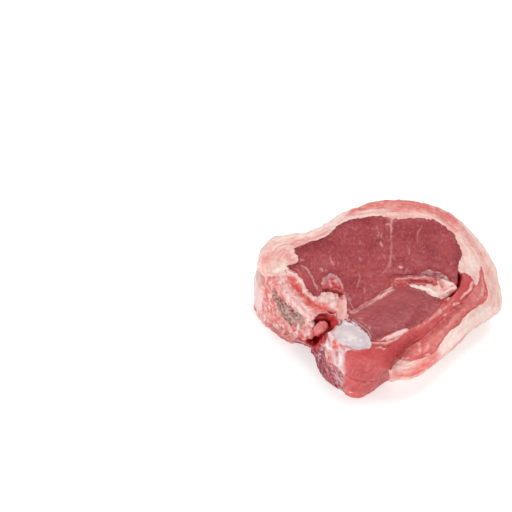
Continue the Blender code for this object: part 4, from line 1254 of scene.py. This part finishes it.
# ---------------------------------------------------------------- bone and gristle
@dataclass
class CanalBone(Tissue):
    """Sawn bone with a share of the spinal canal, bloody, with painted shade under its roof."""

    def tints(self, surface: Surface) -> dict[str, np.ndarray]:
        """Add the blood in the spinal canal, and painted shade at its top left."""
        shares = super().tints(surface)
        plan = surface.plan
        outer, inner = CANAL_RADIUS + 0.9, CANAL_RADIUS + 0.2
        inside = ease(self.frame.from_canal(plan), outer, inner)
        inside *= ease(self.frame.sawn(plan)[1], 0.8, 2.2)      # behind the sawn edge
        # Painted shade: the canal's top left, under its roof, is darkened.
        dark = ease(plan[:, 2], 20.5, 23.5) * ease(plan[:, 0], -19.0, -22.5)    # top left
        self.raise_share(shares, Tint.DEEP, inside * dark)
        self.raise_share(shares, Tint.BLOOD_AND_SHADE, 0.95 * inside * (1.0 - 0.55 * dark))
        return shares


@dataclass
class Rib(Tissue):
    """The rib stump: dotted marrow between two pale rims."""

    strokes: tuple[Stroke, ...] = (
        PALE.cut(0.3, 0.4, 0.9, 0.2, (4.8, -1.6), (7.6, -0.7), (10.4, -0.7), (14, -0.6)),
        FLUSH.cut(0.3, 0.5, 0.8, 0, (13, -0.3), (18, -0.8), (20.8, -1.8)),
        FLUSH.cut(0.5, 0.6, 0.9, 0.1, (9.6, -3.8), (14.3, -3.7), (19.4, -3.9)),
        DEEP.cut(0.45, 0.5, 1, -0.3, (10, -1.3), (13, -1.5), (15, -1.9), (18.6, -2.6)),
        FLUSH.cut(0.8, 1, 0.4, 0, (5.2, -3.4), (8, -2.8)))


@dataclass
class UpperFacet(Tissue):
    """The joint's upper bone: mottled marrow under a greyish rim."""

    strokes: tuple[Stroke, ...] = (
        DULL.cut(1, 1, 0.9, 0.2, (-22.8, -3.6), (-22.2, -1.2), (-20.6, 0), (-18.6, 0.6),
                 (-17, -0.6), (-15.8, -3.6)),
        PALE.cut(0.22, 0.3, 0.9, 0.15, (-17.4, 0.3), (-16, -2.6), (-15, -6)),
        DEEP.cut(0.5, 0.5, 1, -0.4, (-22.8, -6.4), (-20.6, -5.9), (-17.4, -7.2), (-15.4, -8.4)),
        BLOOD_AND_SHADE.cut(0.5, 0.7, 0.6, 0, (-21.9, -4), (-20.9, -3.6)),
        BLOOD_AND_SHADE.cut(0.6, 0.8, 0.55, 0, (-19, -3), (-17, -5.6)),
        PALE.cut(0.5, 0.6, 0.8, 0.2, (-20.2, -2.2), (-19.6, -4.4)),
        PALE.cut(0.4, 0.5, 0.8, 0.15, (-18, -1.4), (-17.6, -2.4)))
    lumps: tuple[Lump, ...] = (
        Lump(((-22.6, -3.2), (-21.8, -1.2)), 1, -0.4),
        Lump(((-19.6, 0.4), (-17.6, 0.6)), 1, -0.4),
        Lump(((-16.4, -1.6), (-15.6, -4.6)), 0.8, -0.3))


@dataclass
class LowerFacet(Tissue):
    """The joint's lower bone: a pale plate with a dark crack at its upper left."""

    strokes: tuple[Stroke, ...] = (
        DEEP.cut(0.9, 0.5, 1, -0.7, (-17.2, -8.8), (-16, -9.2)),
        DEEP.cut(0.45, 0.4, 1, -0.2, (-17.2, -9), (-17.3, -11), (-17.4, -12.6)),
        FLUSH.cut(0.7, 0.6, 1, 0, (-16.2, -10.8), (-15, -11)),
        FLUSH.cut(0.4, 0.8, 0.4, -0.15, (-16.6, -15), (-15.4, -16.6)),
        PALE.cut(0.5, 0.8, 0.6, 0.15, (-14.6, -12), (-14.8, -16), (-15.4, -20)))


@dataclass
class Cord(Tissue):
    """The stub of the spinal cord, darker below its cut end: painted shade in the canal."""

    strokes: tuple[Stroke, ...] = (
        # Painted highlight on the cord's upper left.
        PALE.cut(0.8, 1.2, 0.6, 0.3, (-26, -20), (-24.6, -18.8), (-23, -18.6)),
        FLUSH.cut(0.5, 0.8, 0.6, 0, (-22.6, -20.6), (-22.8, -22)))

    def tints(self, surface: Surface) -> dict[str, np.ndarray]:
        """Darken the cord below its cut end: painted shade where it sinks into the canal."""
        shares = super().tints(surface)
        self.raise_share(shares, Tint.BLOOD_AND_SHADE, 0.8 * ease(surface.plan[:, 2], 20.0, 16.0))
        return shares


@dataclass
class Bridge(Tissue):
    """Clotted blood and membrane across the canal: painted shade above, purple-pink in front."""

    strokes: tuple[Stroke, ...] = (
        FLUSH.sawn(0.6, 0.8, 0.9, 0, (24, 7.6), (28, 8)),
        PALE.sawn(0.35, 0.5, 0.8, 0.2, (19.6, 4.4), (22, 5), (25, 6.4)))
    lumps: tuple[Lump, ...] = (
        Lump(((25.6, 7), (27.6, 8), (29.4, 8.6)), 0.9, -0.3, Face.SAWN),
        Lump(((20.6, 4.6), (23, 6.2)), 0.9, -0.2, Face.SAWN),
        Lump(((-26.4, -18.4), (-25.2, -20.2)), 0.8),
        Lump(((-28, -16.6), (-27, -15.4)), 0.8))

    def tints(self, surface: Surface) -> dict[str, np.ndarray]:
        """Paint the upper side dark red: painted shade deep in the canal, with some blood."""
        shares = super().tints(surface)
        above = ease(surface.normals[:, 2], 0.1, 0.6)
        self.raise_share(shares, Tint.DEEP, 0.9 * above)
        self.raise_share(shares, Tint.BLOOD_AND_SHADE, 0.6 * above)
        return shares


@dataclass
class Gristle(Tissue):
    """The gristly tip of the spine: pale, with orange-pink streaks down the sawn face."""

    strokes: tuple[Stroke, ...] = (
        PALE.sawn(0.7, 1, 0.6, 0.2, (-0.4, 18), (0, 10.5), (1.6, 5), (3.6, 1)),
        FLUSH.sawn(0.6, 0.8, 0.85, -0.2, (1.8, 19.6), (3, 17.2), (4, 14.4)),
        FLUSH.sawn(0.7, 0.8, 0.7, 0, (3.6, 22.4), (4.8, 20.4)),
        FLUSH.sawn(0.5, 0.8, 0.7, 0, (4.6, 10.6), (5.8, 7.4)),
        FLUSH.sawn(0.35, 0.6, 0.6, -0.15, (0.6, 21.4), (1, 15), (2.4, 8)),
        FLUSH.sawn(0.7, 0.8, 0.7, -0.35, (-1, 22.6), (1, 22.2), (3, 23.4)),
        DEEP.sawn(0.8, 0.8, 0.85, -0.2, (0.8, 3.6), (2, 1.4)),
        FLUSH.cut(0.7, 1, 0.7, 0, (-43.6, 1.4), (-41.6, 0.6), (-40.4, -0.6)))


def pores() -> list[Stroke]:
    """Dark holes in the smeared spongy bone of the arch."""
    chance = np.random.default_rng(11)
    stops = (6.0, 9.0, 13.0, 17.0, 22.0, 24.5)
    holes = []
    for _ in range(380):
        along, up = chance.uniform(4.6, 24.5), chance.uniform(11.0, 23.6)
        middle = np.interp(along, stops, (20.6, 18.0, 16.4, 16.0, 16.8, 17.6))
        if abs(up - middle) > np.interp(along, stops, (2.8, 3.6, 4.6, 4.8, 3.0, 1.2)):
            continue
        length = chance.uniform(0.3, 1.3)
        turn = chance.uniform(-1.6, 0.6)
        holes.append(Stroke(
            Tint.DEEP, ((along, up), (along + length, up + turn * length)),
            chance.uniform(0.16, 0.4), 0.22, chance.uniform(0.5, 1.0), -0.4, Face.SAWN,
            broken=0.1))
    return holes


@dataclass
class ArchBone(CanalBone):
    """The lamina: marrow between shells on the cut face, smeared spongy bone on the sawn one."""

    strokes: tuple[Stroke, ...] = (
        FLUSH.cut(1.5, 1, 1, -0.45, (-35, -0.6), (-32.8, -4.6), (-30.4, -8.2), (-28.5, -11.2),
                  (-26.4, -13.8), (-24, -15.4), (-21.8, -15.6)),
        BLOOD_AND_SHADE.cut(0.4, 0.9, 0.35, 0, (-33.6, -3.6), (-31.4, -6.6)),
        DEEP.cut(0.4, 0.9, 0.45, 0, (-31.6, -6.4), (-29, -10), (-27.4, -12.4)),
        PALE.cut(0.45, 0.5, 0.95, 0.3, (-36.2, 4.6), (-35.8, 2.2), (-32.6, 0.2), (-30.4, -2.8),
                 (-29.8, -6.8), (-28.4, -9.4), (-26.4, -11.3)),
        PALE.cut(0.5, 0.8, 0.6, 0.1, (-37.4, -1.4), (-35.4, -7), (-31.6, -12.4), (-29, -15.6),
                 (-27, -18.4)),
        PALE.cut(1.9, 1.3, 0.6, 0.1, (-23.4, -11), (-20.8, -9.4), (-19.4, -10.4), (-19, -14)),
        BLOOD_AND_SHADE.cut(0.3, 0.5, 0.7, 0, (-17.9, -8.8), (-18, -11.6)),
        DEEP.cut(0.4, 0.5, 1, -0.15, (-23.6, -7.6), (-21.6, -6.6)),
        PALE.cut(0.4, 0.6, 0.6, 0, (-21, -17.6), (-18.6, -19.4)),
        FLUSH.cut(0.5, 0.8, 0.5, 0, (-22.6, -13.6), (-20.4, -13.2)),
        DEEP.cut(0.75, 0.4, 1, -0.8, (-20.6, -16.9), (-19, -17.7)),
        BLOOD_AND_SHADE.cut(0.45, 0.5, 0.8, 0, (-19.3, -17.3), (-18.7, -17.7)),
        FLUSH.cut(0.5, 0.8, 0.9, 0, (-22.6, -15.6), (-20.2, -15.6), (-17.4, -18.4)),
        DULL.sawn(0.9, 1, 0.6, 0, (6, 21.6), (7.6, 20)),
        DULL.sawn(1.6, 1.1, 0.9, 0, (8.6, 19.4), (8.6, 16.4)),
        DULL.sawn(2.5, 1, 1, 0, (11.4, 17.8), (16, 17.6), (22.6, 17.8)),
        DULL.sawn(1.9, 1, 1, 0, (11.4, 15.8), (16, 15.2), (20.6, 16)),
        DULL.sawn(1.9, 1.4, 0.95, 0, (10.4, 13.8), (14, 12.8), (18.4, 12.8)),
        DULL.sawn(1.1, 1.2, 0.6, 0, (18.6, 12.6), (20.2, 11)),
        FLUSH.sawn(0.5, 0.7, 0.7, -0.25, (6.6, 20), (8.4, 21.4), (10.4, 21)),
        FLUSH.sawn(0.5, 0.6, 0.8, -0.3, (10.6, 23.4), (12.4, 21.2)),
        FLUSH.sawn(0.4, 0.5, 0.9, -0.2, (6.4, 14.2), (7.6, 15.6)),
        # Painted glint near the top edge of the sawn face.
        PALE.sawn(0.4, 0.4, 0.9, 0.2, (14, 23.6), (14.8, 22.4)),
        FLUSH.sawn(0.7, 0.8, 0.85, -0.2, (5, 13.8), (6.9, 10.5), (8.2, 8.8)),
        FLUSH.sawn(0.5, 0.8, 0.8, -0.15, (9.2, 8.2), (10.6, 7.4), (12.2, 6.2)),
        FLUSH.sawn(0.4, 0.8, 0.6, -0.15, (5.8, 16.2), (7.4, 12.8), (9.8, 10)),
        DEEP.sawn(2.4, 2.4, 0.26, 0, (7, 3.4), (12, 3), (17, 4), (22.6, 5.6)),
        PALE.sawn(0.5, 0.8, 0.5, 0.2, (5.6, 8.4), (7, 4.2)),
        FLUSH.sawn(0.7, 1, 0.6, -0.2, (4.4, 24), (8.4, 23), (11, 21.4)),
        FLUSH.sawn(0.7, 0.5, 1, 0.2, (13.2, 6.1), (14.2, 5.6)),
        DEEP.sawn(0.3, 0.4, 0.8, 0, (13.8, 6.9), (14.8, 6.4)),
        FLUSH.sawn(1, 0.8, 0.95, 0, (24.6, 12.6), (24.6, 10), (23, 8)),
        PALE.sawn(0.6, 0.5, 0.95, 0, (21.6, 13.6), (21.2, 10.4), (21.4, 7.4)),
        PALE.sawn(0.7, 0.8, 0.6, 0, (26.4, 15), (26.4, 12.4)),
        FLUSH.sawn(0.9, 1, 0.7, 0, (28, 15), (27.6, 11.4), (26, 8.4)),
        PALE.sawn(0.9, 0.9, 0.7, 0.15, (14.6, 25), (18, 23.8), (22, 23.4), (27, 22.4)),
        PALE.sawn(0.6, 0.9, 0.6, 0, (26, 21), (27.6, 16.6)),
        BLOOD_AND_SHADE.sawn(1.4, 1.8, 0.34, 0, (8, 2.6), (13, 2.2), (18, 3.6), (21.4, 3.6)),
        DEEP.sawn(0.6, 0.9, 0.55, -0.4, (10.4, 1), (14.4, 1.8), (17.6, 1.2)),
        PALE.sawn(0.3, 0.5, 0.8, 0.2, (9.6, 5.4), (12, 4.8)),
        PALE.sawn(0.3, 0.5, 0.8, 0.2, (15.4, 4.4), (18.6, 5.6)),
        FLUSH.sawn(0.5, 0.8, 0.6, 0.4, (9, 4.2), (12.4, 3.4), (17, 5.6)),
        *pores())
    lumps: tuple[Lump, ...] = (
        Lump(((22.8, 8), (24, 11), (25, 14.6)), 2.7, -0.5, Face.SAWN),
        Lump(((25.6, 9.2), (26.4, 12.4), (26.8, 15)), 1.9, -1.5, Face.SAWN),
        Lump(((24.6, 8.6), (25.8, 10.2)), 1.1, 1, Face.SAWN),
        Lump(((23.4, 14), (24.8, 16.6)), 1.2, 0.4, Face.SAWN),
        Lump(((26.6, 16), (27.4, 19)), 1.3, -0.9, Face.SAWN),
        Lump(((20.6, 12.4), (20.2, 9.2)), 0.8, 0.3, Face.SAWN),
        Lump(((11, 3), (14.4, 3.6), (17.4, 5.6)), 1, 0.2, Face.SAWN),
        Lump(((13.2, 6.2), (14.2, 5.7)), 0.8, 0.2, Face.SAWN),
        Lump(((-36.2, 4.4), (-35.8, 2.2), (-33.6, 0.8)), 0.8, -0.2),
        Lump(((-30.2, -3.4), (-29.7, -6.6)), 0.6, -0.1),
        Lump(((-22.6, -11), (-20.8, -9.4)), 1.1, -0.4))


@dataclass
class BodyBone(CanalBone):
    """The vertebral body: spongy bone below the disc, a fatty patch beside the canal."""

    strokes: tuple[Stroke, ...] = (
        PALE.sawn(0.9, 0.8, 0.9, 0.2, (35.6, 15.6), (37, 16.8), (38.8, 17.8)),
        BLOOD_AND_SHADE.sawn(1.2, 0.9, 0.85, 0.2, (32, 11.8), (34, 15), (35.2, 17.6), (36.6, 20.6),
                   (37.8, 23.8)),
        DEEP.sawn(0.4, 0.6, 0.7, 0, (35.6, 21.4), (36.6, 23.4)),
        PALE.sawn(0.32, 0.35, 1, 0.3, (33, 6.6), (34.2, 8), (35.4, 10.2)),
        PALE.cut(1.5, 0.7, 0.75, 0, (-19.6, -20.2), (-18.4, -21.6), (-17.5, -23.2)),
        FLUSH.cut(0.8, 0.7, 0.9, 0, (-18.8, -20.6), (-17.8, -21.8), (-17, -22.9)),
        FLUSH.sawn(0.8, 0.6, 0.9, 0, (38.4, 14.6), (40, 13.6), (41.4, 12.6)),
        BLOOD_AND_SHADE.sawn(0.8, 0.9, 0.75, 0, (28, 7.6), (31, 9), (34, 12.2)),
        PALE.sawn(0.4, 0.6, 0.6, 0.2, (34.6, 12), (36.4, 14.6)),
        BLOOD_AND_SHADE.sawn(0.5, 0.8, 0.5, 0, (30.6, 6), (32.6, 5.6)),
        DEEP.sawn(0.8, 1.6, 0.4, -0.3, (31, 7), (35, 4.4), (39, 4.2)),
        *struts(31, 60, (30.0, 39.0), (1.5, 13.0), 0.45),
        PALE.sawn(0.25, 0.3, 1, 0.2, (34.2, 5.9), (35, 5.2)),
        PALE.sawn(0.25, 0.3, 1, 0.2, (39.8, 6), (40.6, 5.4)),
        PALE.cut(0.3, 0.35, 0.85, 0.1, (-16.6, -21.6), (-12.6, -21.6), (-9.6, -23.8), (-7, -28),
                 (-5.6, -32)),
        FLUSH.cut(0.9, 0.6, 0.8, 0, (-18.4, -22.4), (-17.4, -21.4)),
        DEEP.cut(0.3, 0.4, 0.5, 0, (-16.8, -23), (-16.4, -23.6)))
    lumps: tuple[Lump, ...] = (
        Lump(((-18.8, -21), (-18.2, -22)), 1.6, -0.9),
        Lump(((-17.6, -22.6),), 1.1, -0.5),
        Lump(((33.4, 13.4), (35, 16.4)), 1, -0.2, Face.SAWN),
        Lump(((36, 19.4), (37.2, 22.4)), 0.9, -0.2, Face.SAWN),
        Lump(((30.4, 6), (31.6, 8)), 1, 0, Face.SAWN))


@dataclass
class Disc(Tissue):
    """The disc: glossy cartilage on the cut face, its torn ring on the sawn one."""

    strokes: tuple[Stroke, ...] = (
        FLUSH.cut(0.45, 0.7, 0.6, 0, (-16.8, -22), (-18.8, -25), (-19.8, -27.6), (-18.8, -30.6),
                  (-17, -33.4)),
        DULL.cut(0.2, 0.8, 0.15, 0, (-12, -24.4), (-9.4, -28), (-7.6, -32.4)),
        PALE.cut(1.6, 2.4, 0.35, 0.2, (-15, -27), (-12, -30)),
        FLUSH.sawn(6, 2, 0.4, 0, (38.6, 19), (43, 17), (48, 16)),
        DULL.sawn(3.1, 0.8, 1, 0, (37.2, 9.4), (41, 9.2), (45.2, 9.8), (48.6, 8.6)),
        DULL.sawn(3, 1, 1, 0, (37, 4), (42, 4), (48.6, 4)),
        FLUSH.sawn(1.5, 0.5, 1, 0.2, (39.4, 16.2), (40.6, 14.9), (42, 13.4)),
        FLUSH.sawn(1.1, 0.6, 1, 0.2, (42.2, 25), (42.9, 23.2), (43, 20.6)),
        FLUSH.sawn(0.7, 0.6, 1, 0, (43.6, 21.4), (44.4, 23.4), (45.6, 24.8), (48, 25.2)),
        FLUSH.cut(0.45, 0.5, 1, 0, (-18.6, -32.2), (-17, -33.2), (-15.2, -34.1), (-13.4, -35)),
        BLOOD_AND_SHADE.sawn(1, 0.6, 0.95, -0.6, (44.2, 20.2), (43.9, 18.2)),
        DEEP.sawn(0.5, 0.5, 0.7, -0.2, (44.2, 19.6), (44, 18.6)),
        PALE.sawn(1.3, 0.7, 0.95, 0.3, (38.6, 18.4), (40.4, 19)),
        BLOOD_AND_SHADE.sawn(0.9, 0.8, 0.85, 0, (37.4, 24.4), (38, 22.4), (38.6, 21)),
        PALE.sawn(0.8, 0.6, 0.85, 0.3, (46.4, 22), (46.8, 18.6), (46.6, 15.4)),
        PALE.sawn(0.35, 0.4, 0.95, 0.3, (43.6, 15.8), (45, 13.9), (47, 13.3), (48.8, 12.4)),
        DEEP.sawn(0.25, 0.4, 0.7, -0.3, (44.4, 13.6), (46.8, 12.4), (48.6, 11.4)),
        FLUSH.sawn(0.6, 0.6, 0.9, 0, (48.6, 24.6), (48.8, 18.6), (48.8, 13.6)),
        *struts(53, 110, (36, 49), (1, 12.6), 0.4))
    lumps: tuple[Lump, ...] = (
        Lump(((42.4, 24.2), (42.9, 21.4)), 1.1, 0, Face.SAWN),
        Lump(((39.4, 16.2), (41.8, 13.6)), 1.3, -0.2, Face.SAWN),
        Lump(((46.5, 21.6), (46.7, 15.8)), 0.9, 0, Face.SAWN),
        Lump(((38.6, 18.4), (40.4, 19)), 1, -0.2, Face.SAWN))


# The gap between the loin and the flank: its walls painted blood red, as painted shade.
FLANK_GAP = Stroke(
    Tint.BLOOD_AND_SHADE, ((31.4, 6), (30.8, 1), (29.4, -3.6), (26.6, -7.6), (22.6, -11.6)), 2.2, 1, 0.9)


# ---------------------------------------------------------------- studio
@dataclass
class Studio:
    """Floor, lights and camera."""

    camera_place: tuple[float, float, float] = (-0.047054, -0.390997, 0.46974)
    camera_tilt: float = 42.0           # degrees up from straight down
    focal_length: float = 108.84        # mm, on a 36 mm sensor

    def floor(self) -> None:
        """Lay a matt white table."""
        bpy.ops.object.select_all(action="DESELECT")
        bpy.ops.mesh.primitive_plane_add(size=4.0, location=(0.0, 0.0, 0.0))
        floor = bpy.context.object
        floor.name = "floor"
        material = bpy.data.materials.new("matt_white_table")
        material.use_nodes = True
        sockets = material.node_tree.nodes["Principled BSDF"].inputs
        for name, value in (
                ("Base Color", linear("D9DCDC")), ("Roughness", 0.9), ("Specular IOR Level", 0.1),
                ("Emission Color", linear("FCFCFC")), ("Emission Strength", 0.45)):
            sockets[name].default_value = value
        floor.data.materials.append(material)

    def light(self, name: str, place: tuple[float, float, float], size: float,
              power: float) -> None:
        """Add a square softbox that looks at the chop."""
        lamp = bpy.data.lights.new(name, "AREA")
        lamp.size = size
        lamp.energy = power
        holder = bpy.data.objects.new(name, lamp)
        holder.location = place
        holder.rotation_euler = (-Vector(place)).to_track_quat("-Z", "Y").to_euler()
        bpy.context.scene.collection.objects.link(holder)

    def build(self) -> None:
        """Set the stage."""
        scene = bpy.context.scene
        self.floor()
        self.light("softbox_top", (0.25, 0.25, 1.2), size=0.6, power=8.6)
        self.light("softbox_front", (-0.5, -0.7, 0.35), size=0.5, power=4.4)
        world = bpy.data.worlds.new("studio_air")
        world.use_nodes = True
        air = world.node_tree.nodes["Background"].inputs
        air["Color"].default_value = (1.0, 0.99, 0.985, 1.0)
        air["Strength"].default_value = 0.5
        scene.world = world
        scene.view_settings.view_transform = "Standard"
        data = bpy.data.cameras.new("camera")
        data.lens = self.focal_length
        data.sensor_width = 36.0
        camera = bpy.data.objects.new("camera", data)
        camera.location = self.camera_place
        camera.rotation_euler = (math.radians(self.camera_tilt), 0.0, 0.0)
        scene.collection.objects.link(camera)
        scene.camera = camera


def main() -> None:
    """Build the chop and its studio."""
    logging.basicConfig(level=logging.INFO, format="%(message)s")
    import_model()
    frame = ChopFrame.from_nodes()
    near = Neighbours(frame, [item.name for item in bpy.data.objects if item.type == "MESH"])
    pieces = [
        LoinMuscle("loin_eye", "loin_muscle", LOIN_LEAN, frame, near, 0.42, ("flank_inner",),
                   gaps=(FLANK_GAP,)),
        SmallMuscle("multifidus", "spine_muscle", LOIN_LEAN, frame, near, 0.36),
        Fillet("tenderloin", "fillet_muscle", FILLET_LEAN, frame, near, 0.4),
        InnerFlank("flank_inner", "inner_flank_muscle", FLANK_LEAN, frame, near, 0.34,
                   ("loin_eye", "seam_fat"), gaps=(FLANK_GAP,)),
        OuterFlank("flank_outer", "outer_flank_muscle", OUTER_LEAN, frame, near, 0.42),
        BackFat("fat_cover", "back_fat", BACK_FAT, frame, near, 0.42, overlap=0.7,
                own_waves=ROUGH),
        SeamFat("seam_fat", "seam_fat_pad", SEAM_FAT, frame, near, 0.3,
                ("flank_inner", "flank_outer"), overlap=0.4, own_waves=ROUGH, gaps=(FLANK_GAP,)),
        Rib("transverse_process", "rib_bone", MARROW_BONE, frame, near, 0.28, overlap=0.7,
            own_waves=ROUGH),
        UpperFacet("facet_cap", "joint_bone_upper", MARROW_BONE, frame, near, 0.32,
                   ("lamina", "facet_process")),
        LowerFacet("facet_process", "joint_bone_lower", JOINT_BONE, frame, near, 0.32,
                   ("facet_cap",)),
        Gristle("spine_cartilage", "spine_tip_gristle", SAWN_BONE, frame, near, 0.34),
        ArchBone("lamina", "arch_bone", SAWN_BONE, frame, near, 0.34,
                 ("facet_cap", "spinal_cord"), overlap=0.7, own_waves=ROUGH),
        BodyBone("vertebral_body", "body_bone", SPONGY_BONE, frame, near, 0.34,
                 ("spinal_cord",), overlap=0.7, own_waves=ROUGH),
        Disc("disc", "disc_gristle", DISC_GRISTLE, frame, near, 0.36, ("spinal_cord",)),
        Cord("spinal_cord", "cord_stub", CORD_TISSUE, frame, near, 0.28,
             ("lamina", "vertebral_body", "disc", "canal_tissue"), swell=-0.4,
             own_waves=((2.2, 0.45), (0.9, 0.2))),
        Bridge("canal_tissue", "canal_blood", BLOODY_MEMBRANE, frame, near, 0.32,
               ("spinal_cord",))]
    for piece in pieces:
        piece.build()
    Studio().build()


if __name__ == "__main__":
    main()
